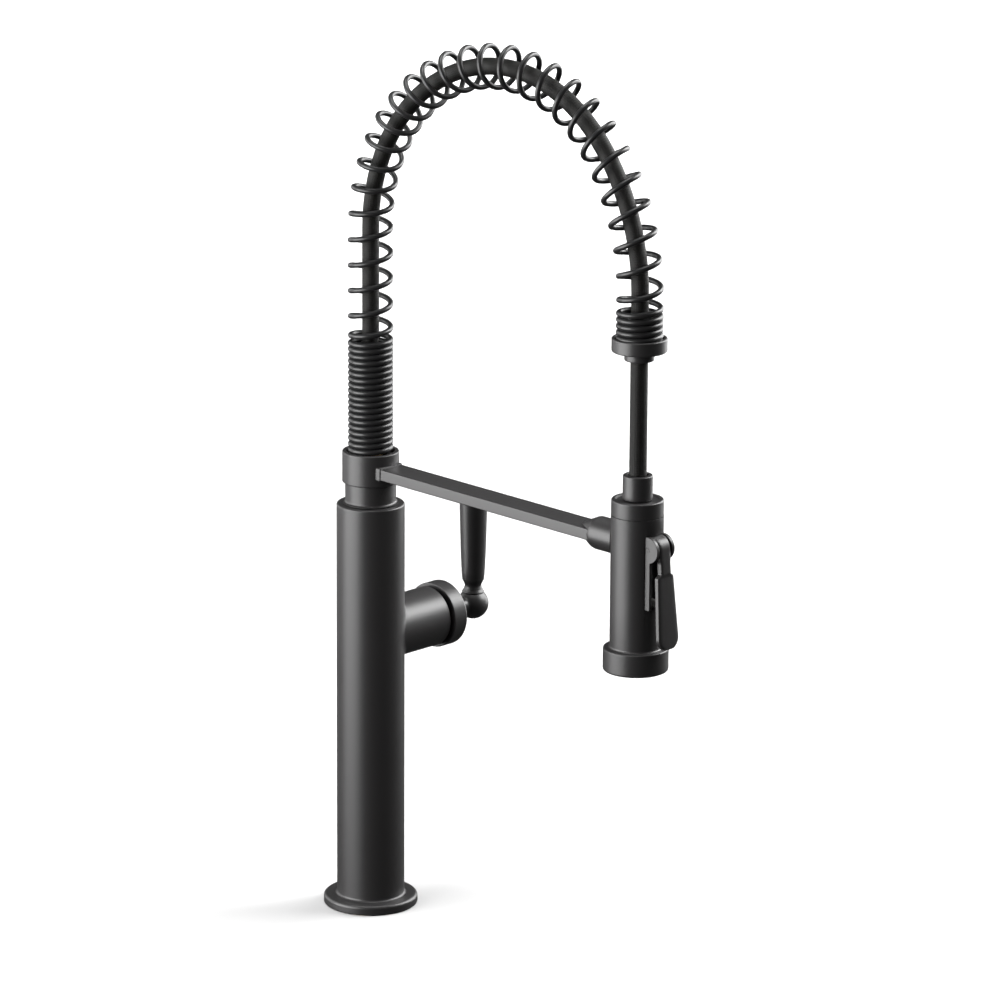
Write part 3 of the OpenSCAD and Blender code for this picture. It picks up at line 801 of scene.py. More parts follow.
@dataclass
class Column:
    """The fixed part: flange, column tube, threaded shank and the pipes below."""

    plan: Plan
    bench: Bench
    foot_flare: float = 1.75
    top_round: float = 1.2
    wall: float = 2.65
    roof: float = 3.2
    post_gap_r: float = 12.6
    thread_r: float = 15.0
    shank_bore_r: float = 13.2
    boss_top: float = 16.0
    flange_round: float = 2.2
    flange_foot_round: float = 1.0
    gasket_seat: tuple[float, float, float] = (22.9, 26.6, 1.7)
    thread_pitch: float = 1.5
    thread_depth: float = 0.75

    @property
    def radius(self) -> float:
        """Outer radius of the plain column."""
        return self.plan.column_flared_r - self.foot_flare

    def flange(self) -> Grid:
        """A turned disc with a big top round, a seat for the gasket below and a boss inside."""
        inner, outer, depth = self.gasket_seat
        boss_r = self.radius - self.wall - 0.2
        top = self.plan.flange_h
        return revolve(rounded([
            (self.thread_r, 0, 0), (inner, 0, 0), (inner, depth, 0), (outer, depth, 0), (outer, 0, 0),
            (self.plan.flange_r, 0, self.flange_foot_round), (self.plan.flange_r, top, self.flange_round),
            (boss_r, top, 0), (boss_r, self.boss_top, 0), (self.thread_r, self.boss_top, 0)], steps=8),
            self.plan.column_seat, segments=192)

    def tube(self) -> Grid:
        """The column: a tube that flares at its foot and turns in at its top."""
        bore, low, top = self.radius - self.wall, self.plan.flange_h, self.plan.column_top
        return revolve(rounded([
            (bore, low, 0), (self.radius + self.foot_flare + 0.01, low, 0),
            (self.radius, low, self.foot_flare),
            (self.radius, top, self.top_round), (self.post_gap_r, top, 0.3),
            (self.post_gap_r, top - self.roof, 0), (bore, top - self.roof, 0)], steps=8),
            self.plan.column_seat, segments=192)

    def shank(self) -> Grid:
        """The shank's thread: its radius falls by a rounded V once for each pitch along a helix.

        r = crest - depth |1 - 2 frac(z / pitch - a / 2 pi)|, with the thread run out at
        both ends of the wall.
        """
        low, high = node_box("mounting_shank")
        crest, bottom = high[0], low[2]
        a = turn_angles(96)[None]
        z = np.linspace(bottom, 0, 8 * round(-bottom / self.thread_pitch) + 1)[:, None]
        phase = (z / self.thread_pitch - a / (2 * math.pi)) % 1.0
        fade = np.clip(np.minimum(z - bottom, -z) / self.thread_pitch, 0, 1)
        r = crest - self.thread_depth * fade * np.abs(1 - 2 * phase)
        wall = self.plan.column_seat.place(r * np.cos(a), r * np.sin(a), z)
        rest = rounded([(crest, 0, 0), (self.thread_r, 0, 0), (self.thread_r, self.boss_top, 0.5),
                        (self.shank_bore_r, self.boss_top, 0.3), (self.shank_bore_r, bottom, 0.3),
                        (crest, bottom, 0)])
        plain = revolve(rest, self.plan.column_seat, closed=False, segments=96)
        return Grid(np.concatenate([wall, plain.points]), rows_close=True)

    def pipe(self, node: str, plain_end: float = 28.0, sleeve: float = 0.35, bore: float = 3.6) -> Grid:
        """An inlet pipe with a plain lower end that a fitting grips."""
        low, high = node_box(node)
        outer = (high[0] - low[0]) / 2
        seat = Seat((0, (low[1] + high[1]) / 2, 0))
        step = low[2] + plain_end
        return revolve(rounded([
            (bore, low[2], 0.3), (outer - sleeve, low[2], 0.4), (outer - sleeve, step, 0),
            (outer, step, 0.15),
            (outer, high[2], 0.2), (bore, high[2], 0)]), seat, segments=64)

    def make(self) -> None:
        """Makes the column's pieces."""
        build = self.bench.build
        build(Part("deck_flange", Body.COLUMN, Slot.SATIN_BLACK, ("base_flange",)), [self.flange()])
        build(Part("column_tube", Body.COLUMN, Slot.SATIN_BLACK, ("column_shell",)), [self.tube()])
        build(Part("threaded_shank", Body.COLUMN, Slot.BRASS, ("mounting_shank",)), [self.shank()])
        for side in ("hot", "cold"):
            node = f"{side}_inlet_tube"
            build(Part(f"{side}_pipe", Body.COLUMN, Slot.COPPER, (node,)), [self.pipe(node)])


# ---- the mixing valve and its handle -----------------------------------------


@dataclass
class MixingValve:
    """The valve's sleeve on the column, the turning hub and the tilting lever."""

    plan: Plan
    bench: Bench
    column_r: float
    saddle_fillet: float = 2.0
    saddle_sink: float = 0.3
    sleeve_bore_r: float = 17.5
    sleeve_round: float = 0.7
    groove_r: float = 17.4
    groove_bore_r: float = 12.9
    stem_r: float = 9.5
    skirt_r: float = 12.6
    skirt_start: float = 46.0
    hub_start_gap: float = 2.3
    hub_round: float = 1.8
    hub_back_round: float = 0.6
    dome_x: float = 62.0
    dome_r: float = 10.8
    dome_trim: float = 5.4
    socket_gap: float = 0.3
    finger_r: float = 1.6
    finger_drop: float = 11.0
    neck_r: float = 5.4
    neck_fillet: float = 1.6
    ball_fillet: float = 2.4
    waist_r: float = 5.2
    waist_rise: float = 12.7
    foot_rise: float = 7.5
    foot_r: float = 7.2
    hip_rise: float = 17.0
    lever_round: float = 3.2

    def sleeve(self, steps: int = 8) -> Grid:
        """The sleeve with a fillet where it meets the column.

        At angle a round the valve, the column's face lies at x = sqrt(R^2 - (r cos a)^2).
        Along the fillet of size f the sleeve's radius is r + f - sqrt(f^2 - (f - d)^2) at
        a distance d beyond the face, so it leaves the column square and ends flush.
        """
        a = turn_angles(192)[None]
        f, r = self.saddle_fillet, self.plan.housing_r
        t = np.linspace(0, math.pi / 2, steps + 1)[:, None]
        fillet_r = np.vstack([[[r + f]], r + f * (1 - np.sin(t))])
        beyond = np.vstack([[[-self.saddle_sink]], f * (1 - np.cos(t))])
        face = np.sqrt(np.maximum(self.column_r**2 - (fillet_r * np.sin(a))**2, 0))
        saddle_x = face + beyond
        end = rounded([
            (r, self.column_r + f, 0), (r, self.plan.housing_end, self.sleeve_round),
            (self.sleeve_bore_r, self.plan.housing_end, 0.2), (self.sleeve_bore_r, self.column_r * 0.5, 0)])
        radius = np.vstack([fillet_r, end[1:, :1]])
        x = np.vstack([saddle_x, np.broadcast_to(end[1:, 1:], (len(end) - 1, a.size))])
        seat = self.plan.valve_seat
        return Grid(seat.place(radius * np.cos(a), radius * np.sin(a), x), rows_close=True)

    def groove_ring(self) -> Grid:
        """The dark ring in the groove between sleeve and hub."""
        low, high = node_box("housing_spacer")
        return revolve(rounded([
            (self.groove_bore_r, low[0], 0), (self.groove_r, low[0], 0.2), (self.groove_r, high[0], 0.3),
            (self.groove_bore_r, high[0], 0)]), self.plan.valve_seat)

    def hub(self) -> Grid:
        """The hub: a drum with a round socket in its face, over a skirt round the stem."""
        start = self.plan.housing_end + self.hub_start_gap
        socket_r = self.dome_r + self.socket_gap
        mouth = math.degrees(math.acos((self.plan.hub_end - self.dome_x) / socket_r))
        inner = 180 - math.degrees(math.asin(self.stem_r / socket_r))
        drum = rounded([
            (self.stem_r, self.skirt_start, 0), (self.skirt_r, self.skirt_start, 0.2),
            (self.skirt_r, start, 0), (self.plan.hub_r, start, self.hub_back_round),
            (self.plan.hub_r, self.plan.hub_end, self.hub_round),
            (socket_r * math.sin(math.radians(mouth)) + 0.3, self.plan.hub_end, 0)], steps=8)
        socket = arc((self.dome_x, 0), socket_r, mouth, inner, 16)[:, ::-1]
        return revolve(joined(drum, socket), self.plan.valve_seat, segments=160)

    def ball(self) -> Grid:
        """Dome, neck and ball in one turned piece, with fillets where the neck meets them.

        A fillet of radius f between a ball of radius R and a neck of radius n has its
        centre f + n from the axis and sqrt((R + f)^2 - (n + f)^2) from the ball's centre.
        """
        ball_r = self.plan.ball_tip - self.plan.ball_x
        dome_reach, dome_turn = self.fillet_place(self.dome_r, self.neck_fillet)
        ball_reach, ball_turn = self.fillet_place(ball_r, self.ball_fillet)
        trim = math.degrees(math.acos(-self.dome_trim / self.dome_r))
        back = self.dome_x - self.finger_drop
        outline = joined(
            [(back, 0), (back, self.finger_r - 0.4), (back + 0.4, self.finger_r),
             (self.dome_x - self.dome_trim, self.finger_r)],
            arc((self.dome_x, 0), self.dome_r, trim, dome_turn, 20),
            arc((self.dome_x + dome_reach, self.neck_r + self.neck_fillet), self.neck_fillet,
                180 + dome_turn, 270, 8),
            arc((self.plan.ball_x - ball_reach, self.neck_r + self.ball_fillet), self.ball_fillet,
                270, 360 - ball_turn, 8),
            arc((self.plan.ball_x, 0), ball_r, 180 - ball_turn, 0, 36))
        return revolve(outline[:, ::-1], self.plan.valve_seat, closed=False, segments=96)

    def fillet_place(self, ball_r: float, fillet: float) -> tuple[float, float]:
        """How far a neck fillet's centre lies from a ball's along the axis, and where they touch."""
        out = self.neck_r + fillet
        along = math.sqrt((ball_r + fillet)**2 - out**2)
        return along, math.degrees(math.atan2(out, along))

    def lever(self) -> Grid:
        """The lever: a foot on the ball, a waist, a hip and a body that widens to a round top."""
        z = self.plan.valve_z
        ball_r = self.plan.ball_tip - self.plan.ball_x
        foot = math.degrees(math.asin((self.foot_r - 0.3) / ball_r))
        top_r, top = self.plan.lever_r, self.plan.lever_top
        waist = z + self.waist_rise
        body = rounded([
            (self.foot_r - 0.3, z + ball_r * math.cos(math.radians(foot)), 0),
            (self.foot_r + 0.15, z + self.foot_rise + 0.7, 0.5),
            (self.waist_r + 1.0, z + 10.0, 1.2), (self.waist_r, waist, 2.6),
            (7.1, z + self.hip_rise - 0.6, 1.4), (7.55, z + 20.8, 6.0), (8.25, z + 36, 60.0),
            (top_r, top - 2 * self.lever_round, 0), (top_r, top, self.lever_round), (0, top, 0)], steps=8)
        under = arc((0, z), ball_r, 90, 90 - foot, 10)
        return revolve(joined(under, body), self.plan.lever_seat, closed=False, segments=96)

    def make(self) -> None:
        """Makes the valve's and the handle's pieces."""
        build = self.bench.build
        build(Part("valve_sleeve", Body.COLUMN, Slot.SATIN_BLACK, ("valve_housing",)), [self.sleeve()])
        build(Part("groove_ring", Body.COLUMN, Slot.BLACK_PLASTIC, ("housing_spacer",)), [self.groove_ring()])
        build(Part("hub_drum", Body.HUB, Slot.SATIN_BLACK, ("handle_hub",)), [self.hub()])
        build(Part("lever_ball", Body.HANDLE, Slot.SATIN_BLACK, ("handle_ball",)), [self.ball()])
        build(Part("lever_body", Body.HANDLE, Slot.SATIN_BLACK, ("handle_lever",)), [self.lever()])


# ---- the spout ---------------------------------------------------------------


@dataclass
class SpoutArm:
    """The neck that turns on the column, its collar, the flat arm and the dock."""

    plan: Plan
    bench: Bench
    neck_r: float = 16.3
    neck_flare: float = 1.5
    neck_bore_r: float = 13.9
    washer_bore_r: float = 14.6
    collar_round: float = 0.8
    collar_recess_r: float = 15.4
    recess_floor: float = 299.6
    arm_w: float = 19.2
    arm_h: float = 7.4
    arm_corner: float = 0.8
    boss: float = 0.8
    boss_end: float = 18.6
    dock_cone: tuple[float, float, float] = (186.2, 4.7, 198.0)
    dock_gap: float = 0.3
    dock_bore_r: float = 7.0
    dock_floor: float = 203.0

    def neck(self) -> Grid:
        """The neck: a sleeve with a flared foot, hollow round the swivel post."""
        foot = self.plan.neck_bottom
        wide = self.neck_r + self.neck_flare
        return revolve(rounded([
            (self.washer_bore_r, foot, 0), (wide + 0.01, foot, 0.15), (wide, foot + 0.4, 0),
            (self.neck_r, foot + 0.4, self.neck_flare - 0.05),
            (self.neck_r, self.plan.collar_bottom + 0.5, 0),
            (self.neck_bore_r, self.plan.collar_bottom + 0.5, 0), (self.neck_bore_r, self.recess_floor, 0),
            (11.1, self.recess_floor, 0), (11.1, foot + 0.6, 0), (self.washer_bore_r, foot + 0.6, 0)]),
            self.plan.column_seat, segments=160)

    def collar(self) -> Grid:
        """The collar: a ring with rounded edges and a recess that holds the spring's foot."""
        low, top, r = self.plan.collar_bottom, self.plan.collar_top, self.plan.collar_r
        return revolve(rounded([
            (self.neck_bore_r, low, 0), (r, low, self.collar_round), (r, top, self.collar_round),
            (self.collar_recess_r, top, 0.3), (self.collar_recess_r, self.recess_floor, 0.2),
            (self.neck_bore_r, self.recess_floor, 0)], steps=8), self.plan.column_seat, segments=160)

    def arm_ring(self, grow: float) -> Points:
        """The arm's section, a rounded rectangle grown by an amount on every side."""
        w, h, r = self.arm_w / 2 + grow, self.arm_h / 2 + grow, self.arm_corner + grow * 0.6
        return rounded([(w, -h, r), (w, h, r), (-w, h, r), (-w, -h, r)], steps=6)

    def arm(self) -> Grid:
        """The arm: its section carried out from the collar, with a low boss at its root.

        The first ring lies on the collar, at sqrt(R^2 - x^2) from its axis. The boss ends
        in a small round, and both ends shrink to a point inside their neighbours.
        """
        grow = self.boss * np.array([1.0, 1.0, 0.92, 0.55, 0.12, 0.0, 0.0])
        place = self.boss_end + np.array([0.0, -1.2, -0.7, -0.2, 0.2, 0.5, 0.0])
        place[-1] = self.plan.arm_end - 0.5
        rings = np.stack([self.arm_ring(g) for g in grow])
        x, z = rings[..., 0], rings[..., 1]
        on_collar = np.sqrt(self.plan.collar_r**2 - x[0]**2) - 0.3
        s = np.broadcast_to(place[:, None], x.shape).copy()
        s[0] = np.minimum(on_collar, s[1] - 0.05)
        centre = np.zeros_like(x[:1])
        x, z = np.vstack([centre, x, centre]), np.vstack([centre, z, centre])
        s = np.vstack([s[:1] * 0 + s[0].min(), s, s[-1:]])
        return Grid(self.plan.arm_seat.place(x, z, s))

    def dock(self, segments: int = 128) -> Grid:
        """The dock: a cone and a barrel along the arm, hollowed to the spray head at its end.

        The barrel's end follows the head's barrel. At x and y across an arm of slope t it
        lies at s = (reach - sqrt(R^2 - x^2) - y sin t) / cos t.
        """
        start, start_r, full = self.dock_cone
        r = self.plan.barrel_r
        wall = rounded([(0, start, 0), (start_r, start, 0.9), (r, full, 6.0), (r, full + 6, 0),
                        (0, full + 6, 0)])
        wall = wall[:-1]
        end = rounded([(0, 8, 0), (r, 8, 0), (r, 0, 0.5), (self.dock_bore_r, 0, 0.3),
                       (self.dock_bore_r, 8, 0)])
        end = end[3:-1]
        floor = np.array([[self.dock_bore_r, self.dock_floor], [0, self.dock_floor]])
        radius = np.concatenate([wall[:, 0], end[:, 0], floor[:, 0]])[:, None]
        height = np.concatenate([wall[:, 1], -end[:, 1], floor[:, 1]])[:, None]
        follows = np.concatenate([wall[:, 0] * 0, end[:, 0] * 0 + 1, [0, 0]])[:, None]
        a = turn_angles(segments)[None]
        x, y = radius * np.cos(a), radius * np.sin(a)
        gap_r = self.plan.head_r + self.dock_gap
        slope = self.plan.arm_slope
        face = (self.plan.reach - np.sqrt(gap_r**2 - x**2) - y * math.sin(slope)) / math.cos(slope)
        return Grid(self.plan.arm_seat.place(x, y, height + follows * face))

    def make(self) -> None:
        """Makes the spout's solid pieces."""
        build = self.bench.build
        build(Part("swivel_neck", Body.SPOUT, Slot.SATIN_BLACK, ("spout_neck",)), [self.neck()])
        build(Part("spout_collar", Body.SPOUT, Slot.SATIN_BLACK, ("arm_collar",)), [self.collar()])
        build(Part("flat_arm", Body.SPOUT, Slot.SATIN_BLACK, ("dock_arm",)), [self.arm()])
        build(Part("dock_cup", Body.SPOUT, Slot.SATIN_BLACK, ("dock_barrel",)), [self.dock()])


# ---- the arch ----------------------------------------------------------------


@dataclass
class Arch:
    """The line that spring and hose follow: up, three tangent bends, and down.

    Attributes:
        plan: The faucet's main sizes.
        start: Height of the line's first point.
        rise: Height where the first bend starts.
        bends: Radius and angle of the first two bends. The third closes the arch.
    """

    plan: Plan
    start: float = 302.2
    rise: float = 447.5
    bends: tuple[tuple[float, float], tuple[float, float]] = ((119.0, 81.0), (106.0, 60.0))
    centres: Points = field(init=False)
    radii: Points = field(init=False)
    headings: Points = field(init=False)
    ends: Points = field(init=False)

    def __post_init__(self) -> None:
        """Works out each bend's centre and radius, its first heading and the distance where it starts."""
        (r1, a1), (r2, a2) = self.bends
        h1, h2 = math.radians(a1), math.radians(a1 + a2)
        c1 = np.array([-r1, self.rise])
        c2 = c1 + (r1 - r2) * np.array([math.cos(h1), math.sin(h1)])
        end2 = c2 + r2 * np.array([math.cos(h2), math.sin(h2)])
        r3 = (self.plan.reach + end2[0]) / (1 + math.cos(h2))
        c3 = end2 - r3 * np.array([math.cos(h2), math.sin(h2)])
        self.centres, self.radii = np.array([c1, c2, c3]), np.array([r1, r2, r3])
        self.headings = np.array([0, h1, h2, math.pi])
        runs = np.concatenate([[self.rise - self.start], self.radii * np.diff(self.headings)])
        self.ends = np.cumsum(runs)

    @property
    def fall(self) -> float:
        """Height where the last bend ends and the line goes straight down."""
        return float(self.centres[2, 1])

    def at(self, s: Points) -> tuple[Points, Points]:
        """Points and headings at distances s along the line.

        On a bend, point = centre + radius (cos h, sin h) in the plane of -Y and Z, and the
        heading h grows by the distance over the radius.

        Args:
            s: Distances from the line's first point.

        Returns:
            The points, and the headings in radians, 0 for up and pi for down.
        """
        heading = np.interp(s, np.concatenate([[0], self.ends]), np.concatenate([[0], self.headings]))
        bend = np.clip(np.searchsorted(self.ends, s) - 1, 0, 2)
        round_part = self.centres[bend] + self.radii[bend, None] * np.stack(
            [np.cos(heading), np.sin(heading)], axis=-1)
        up = np.stack([0 * s, self.start + s], axis=-1)
        down = np.stack([0 * s - self.plan.reach, self.fall - (s - self.ends[-1])], axis=-1)
        before, after = (s < self.ends[0])[:, None], (s > self.ends[-1])[:, None]
        flat = np.where(before, up, np.where(after, down, round_part))
        return np.column_stack([0 * s, flat]), heading

    def frames(self, s: Points) -> tuple[Points, Points, Points]:
        """Points, directions along the line and directions outward in its plane."""
        points, h = self.at(s)
        forward = np.column_stack([0 * h, -np.sin(h), np.cos(h)])
        outward = np.column_stack([0 * h, np.cos(h), np.sin(h)])
        return points, forward, outward


@dataclass
class ArchSpring:
    """The coil over the arch: closed turns at both ends and open turns between them."""

    plan: Plan
    bench: Bench
    arch: Arch
    wire: float = 3.5
    swell: float = 0.12
    foot_turns: float = 18.6
    open_turns: float = 29.3
    tip_turns: float = 4.5
    foot_pitch: float = 3.87
    ease_turns: float = 2.0
    seat: float = 413.0
    steps: int = 56
    sides: int = 14
    end_round: int = 5

    def distance(self, n: Points) -> Points:
        """Distance along the arch after n turns.

        The closed turns have one pitch. Over the first and last open turns the pitch
        swells as the smooth step of the turns made, and between them it is even. The
        integral of the smooth step is x^3 - x^4 / 2.
        """
        run = self.arch.ends[-1] + self.arch.fall - self.seat
        foot, tip = self.foot_turns * self.foot_pitch, self.tip_turns * self.foot_pitch
        open_run, ease = run - foot - tip, self.ease_turns
        extra = (open_run - self.foot_pitch * self.open_turns) / (self.open_turns - ease)
        made = np.clip(n - self.foot_turns, 0, self.open_turns)
        first, last = np.clip(made / ease, 0, 1), np.clip((self.open_turns - made) / ease, 0, 1)
        swollen = ease * (first**3 - first**4 / 2) + np.clip(made - ease, 0, self.open_turns - 2 * ease)
        swollen += ease * (0.5 - (last**3 - last**4 / 2))
        return n * self.foot_pitch + extra * swollen

    def coil(self) -> Grid:
        """The wire: centre = line + c (cos a X + sin a outward), with a the turn made.

        The section stands square to the wire's own direction, which is worked out by
        differences. The ends are rounded off. The closed turns are drawn thicker than
        the frame's wire by swell, all of it inwards, so that no light shows between them.
        """
        turns = self.foot_turns + self.open_turns + self.tip_turns
        n = np.linspace(0, turns, round(turns * self.steps) + 1)
        points, _, outward = self.arch.frames(self.distance(n))
        opened = np.clip((n - self.foot_turns) / self.ease_turns, 0, 1)
        opened *= np.clip((turns - self.tip_turns - n) / self.ease_turns, 0, 1)
        radius = self.wire / 2 + self.swell * (1 - opened)
        a = (2 * math.pi * n)[:, None]
        radial = np.cos(a) * np.array([[1.0, 0.0, 0.0]]) + np.sin(a) * outward
        centre = points + (self.plan.spring_r - radius)[:, None] * radial
        forward = np.gradient(centre, axis=0)
        forward /= np.linalg.norm(forward, axis=1, keepdims=True)
        side = radial - np.sum(radial * forward, axis=1, keepdims=True) * forward
        side /= np.linalg.norm(side, axis=1, keepdims=True)
        cap = np.sqrt(1 - (1 - np.arange(self.end_round) / self.end_round)**2)
        radius[:self.end_round] *= cap
        radius[-self.end_round:] *= cap[::-1]
        return sweep(centre, side, np.cross(forward, side), radius, self.sides)

    def make(self) -> None:
        """Makes the spring."""
        part = Part("spring_coil", Body.SPOUT, Slot.SPRING_BLACK, ("arch_spring",), sharp=80)
        self.bench.build(part, [self.coil()])


@dataclass
class SprayHose:
    """The hose over the arch with the fittings at its ends."""

    plan: Plan
    bench: Bench
    arch: Arch
    hose_r: float = 5.4
    start: float = 302.7
    leaves_guide: float = 402.0
    end: float = 322.5
    step: float = 2.0
    sides: int = 40
    guide_gap: float = 0.1
    guide_top: float = 414.0
    guide_step_r: float = 8.0
    guide_step: float = 408.0
    edge: float = 0.8
    ferrule_recess_r: float = 14.9
    ferrule_floor: float = 411.0
    nut_recess: tuple[float, float] = (6.4, 2.0)
    nut_bore_r: float = 5.0

    def hose(self) -> Grid:
        """The hose as one tube along the whole arch and down to the nut."""
        first = self.start - self.arch.start
        last = self.arch.ends[-1] + self.arch.fall - self.end
        s = np.linspace(first, last, round((last - first) / self.step) + 1)
        points, forward, outward = self.arch.frames(np.concatenate([s[:1], s, s[-1:]]))
        side = np.broadcast_to(np.array([1.0, 0.0, 0.0]), points.shape)
        return sweep(points, side, outward, np.array(self.hose_r), self.sides)

    def make_hose(self) -> None:
        """Makes the hose as one piece that stays where it is drawn, on no body.

        Known fault: the hose doesn't bend where it leaves the guide when its end swings. Its foot inside the
        spring, which is lower than the guide, needs a piece of its own that rides on the spout.
        """
        part = Part("spray_hose", Body.SPOUT, Slot.HOSE, ())
        piece = self.bench.mesh(part.name, [self.hose()])
        piece.data.shade_smooth()
        self.bench.shop.dress(piece, BRAID)
        self.leaves_guide * MM
        (self.leaves_guide - 14) * MM
        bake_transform(piece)
        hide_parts("hose_arch", "hose_drop")
        LOG.info("%s: %d faces, blended", piece.name, len(piece.data.polygons))

    def ferrule(self) -> Grid:
        """The cup that the spring's end sits in."""
        low, high, r = self.plan.ferrule_bottom, self.plan.ferrule_top, self.plan.ferrule_r
        return revolve(rounded([
            (self.guide_step_r, low, 0), (r, low, self.edge), (r, high, self.edge),
            (self.ferrule_recess_r, high, 0.4), (self.ferrule_recess_r, self.ferrule_floor, 0.2),
            (self.guide_step_r, self.ferrule_floor, 0)], steps=8), self.plan.head_seat)

    def guide(self) -> Grid:
        """The short tube below the ferrule that the hose runs through."""
        bore = self.hose_r + self.guide_gap
        return revolve(rounded([
            (bore, self.plan.guide_bottom, 0.4), (self.plan.nut_r, self.plan.guide_bottom, self.edge),
            (self.plan.nut_r, self.guide_step, 0), (self.guide_step_r, self.guide_step, 0),
            (self.guide_step_r, self.guide_top, 0.3), (bore, self.guide_top, 0.2)]), self.plan.head_seat)

    def nut(self) -> Grid:
        """The nut that holds the hose's end, with a recess round the hose."""
        low, _ = node_box("hose_nut")
        r, top = self.plan.nut_r, self.plan.nut_top
        recess_r, depth = self.nut_recess
        return revolve(rounded([
            (self.nut_bore_r, low[2], 0), (r, low[2], self.edge), (r, top, self.edge), (recess_r, top, 0.35),
            (recess_r, top - depth, 0.3), (self.hose_r, top - depth, 0), (self.hose_r, self.end, 0),
            (self.nut_bore_r, self.end, 0)], steps=8), self.plan.head_seat)

    def make(self) -> None:
        """Makes the hose and its fittings."""
        self.make_hose()
        build = self.bench.build
        build(Part("coil_ferrule", Body.SPOUT, Slot.SATIN_BLACK, ("spring_ferrule",)), [self.ferrule()])
        build(Part("hose_guide_tube", Body.SPOUT, Slot.SATIN_BLACK, ("hose_guide",)), [self.guide()])
        build(Part("hose_end_nut", Body.HOSE_END, Slot.SATIN_BLACK, ("hose_nut",)), [self.nut()])


# ---- the spray head ----------------------------------------------------------


@dataclass
class SprayHead:
    """The docked spray head: cap, barrel, nozzle ring, spray face, bracket and lever."""

    plan: Plan
    bench: Bench
    wall: float = 2.0
    seam_gap: float = 0.2
    spigot: float = 6.5
    cap_shrink: float = 0.1
    cap_round: float = 1.0
    dish_r: float = 13.4
    dish: float = 0.8
    shell_bottom: float = 214.0
    window_half: float = 7.9
    lever_out: float = 15.7
    lever_z: float = 287.4
    ear_r: float = 8.2
    ring_top: float = 221.8
    ring_fillet: float = 1.3
    ring_round: float = 0.9
    ring_foot_round: float = 1.4
    face_r: float = 17.4
    face_heights: tuple[float, float] = (208.3, 211.4)
    aerator_r: float = 7.0
    nozzle_rows: tuple[tuple[float, int], ...] = ((10.0, 12), (14.2, 20))
    nozzle_r: float = 0.9
    nozzle_tip: float = 207.6
    knuckle_r: float = 7.9
    knuckle_back: float = 2.2
    knuckle_half: float = 5.3
    neck_half: float = 4.4
    shoulder_half: float = 7.1
    tip_half: float = 8.9
    tip_round: float = 7.5
    shoulder: tuple[float, float] = (15.0, 17.4)
    paddle_back: float = 3.4
    paddle_step: float = 0.5
    paddle_length: float = 62.6
    paddle_slope: float = 4.8
    bevel: float = 0.3

    def cap(self) -> Grid:
        """The cap: a ring with a dished top round the nut."""
        inner, top = self.plan.head_r - self.wall, self.plan.head_top
        r = self.plan.head_r - self.cap_shrink
        seam = self.plan.shell_top + self.seam_gap
        low = seam - self.spigot
        return revolve(rounded([
            (11.3, low, 0), (inner, low, 0), (inner, seam, 0), (r, seam, 0.12),
            (r, top, self.cap_round), (self.dish_r, top, 0.25), (self.dish_r, top - self.dish, 0.2),
            (5.05, top - self.dish, 0), (5.05, 309, 0), (11.3, 309, 0)], steps=8), self.plan.head_seat)

    def shell(self) -> bpy.types.Object:
        """The barrel: a sheet rolled round the head's axis with a window for the lever's bracket.

        The sheet is (r cos a, r sin a, z). Its rows and columns have lines at the window's
        edges, the faces between them are left out, and Solidify gives it its wall.
        """
        r = self.plan.head_r
        edge = math.asin(self.window_half / r)
        front = -math.pi / 2
        a = np.concatenate([np.linspace(front - edge, front + edge, 17)[:-1],
                            np.linspace(front + edge, front + 2 * math.pi - edge, 112)[:-1]])[None]
        low, high = self.plan.bracket_bottom, self.lever_z + self.ear_r
        top = self.plan.shell_top
        z = np.concatenate([[self.shell_bottom], np.linspace(low, high, 9), [top - 0.1, top]])[:, None]
        r_row = np.where(z > top - 0.05, r - 0.1, r)
        points = self.plan.head_seat.place(r_row * np.cos(a), r_row * np.sin(a), z)
        middle_z = (z[1:, 0] + z[:-1, 0]) / 2
        in_rows = (middle_z > low) & (middle_z < high)
        in_columns = np.arange(a.size) < 16
        keep = ~(in_rows[:, None] & in_columns[None])
        piece = Bench.mesh("head_tube", [Grid(points, keep=keep)], turn_out=False)
        solid = piece.modifiers.new("wall", "SOLIDIFY")
        solid.thickness = self.wall * MM
        solid.offset = -1
        solid.use_even_offset = True
        return piece

    def ring(self) -> Grid:
        """The nozzle ring: a wide band with a fillet up to the barrel."""
        r, low, top = self.plan.nozzle_r, self.plan.head_bottom, self.ring_top
        barrel, f = self.plan.head_r, self.ring_fillet
        outer = rounded([(self.face_r, low, 0), (r, low, self.ring_foot_round), (r, top, self.ring_round),
                         (barrel + f, top, 0)], steps=8)
        fillet = arc((barrel + f, top + f), f, 270, 180, 8)
        inner = [(barrel - 0.1, top + f), (barrel - 0.1, self.shell_bottom), (self.face_r, self.shell_bottom)]
        return revolve(joined(outer, fillet, inner), self.plan.head_seat, segments=160)

    def spray_face(self) -> list[Grid]:
        """The rubber face with two rings of soft nozzles, each a cone with a dimple at its tip."""
        low, high = self.face_heights
        disc = revolve(rounded([(self.aerator_r, low, 0.3), (self.face_r, low, 0.3), (self.face_r, high, 0),
                                (self.aerator_r, high, 0)]), self.plan.head_seat)
        r, tip = self.nozzle_r, self.nozzle_tip
        outline = rounded([(0, high, 0), (r + 0.25, high, 0), (r + 0.25, low + 0.05, 0.2), (r, tip, 0.25),
                           (0.45, tip, 0.1), (0.3, tip + 0.8, 0), (0, tip + 0.8, 0)], steps=3)
        nozzle = revolve(outline, self.plan.head_seat, closed=False, segments=20)
        grids = [disc]
        for radius, count in self.nozzle_rows:
            for a in turn_angles(count):
                grids.append(nozzle.moved((radius * math.cos(a), radius * math.sin(a), 0)))
        return grids

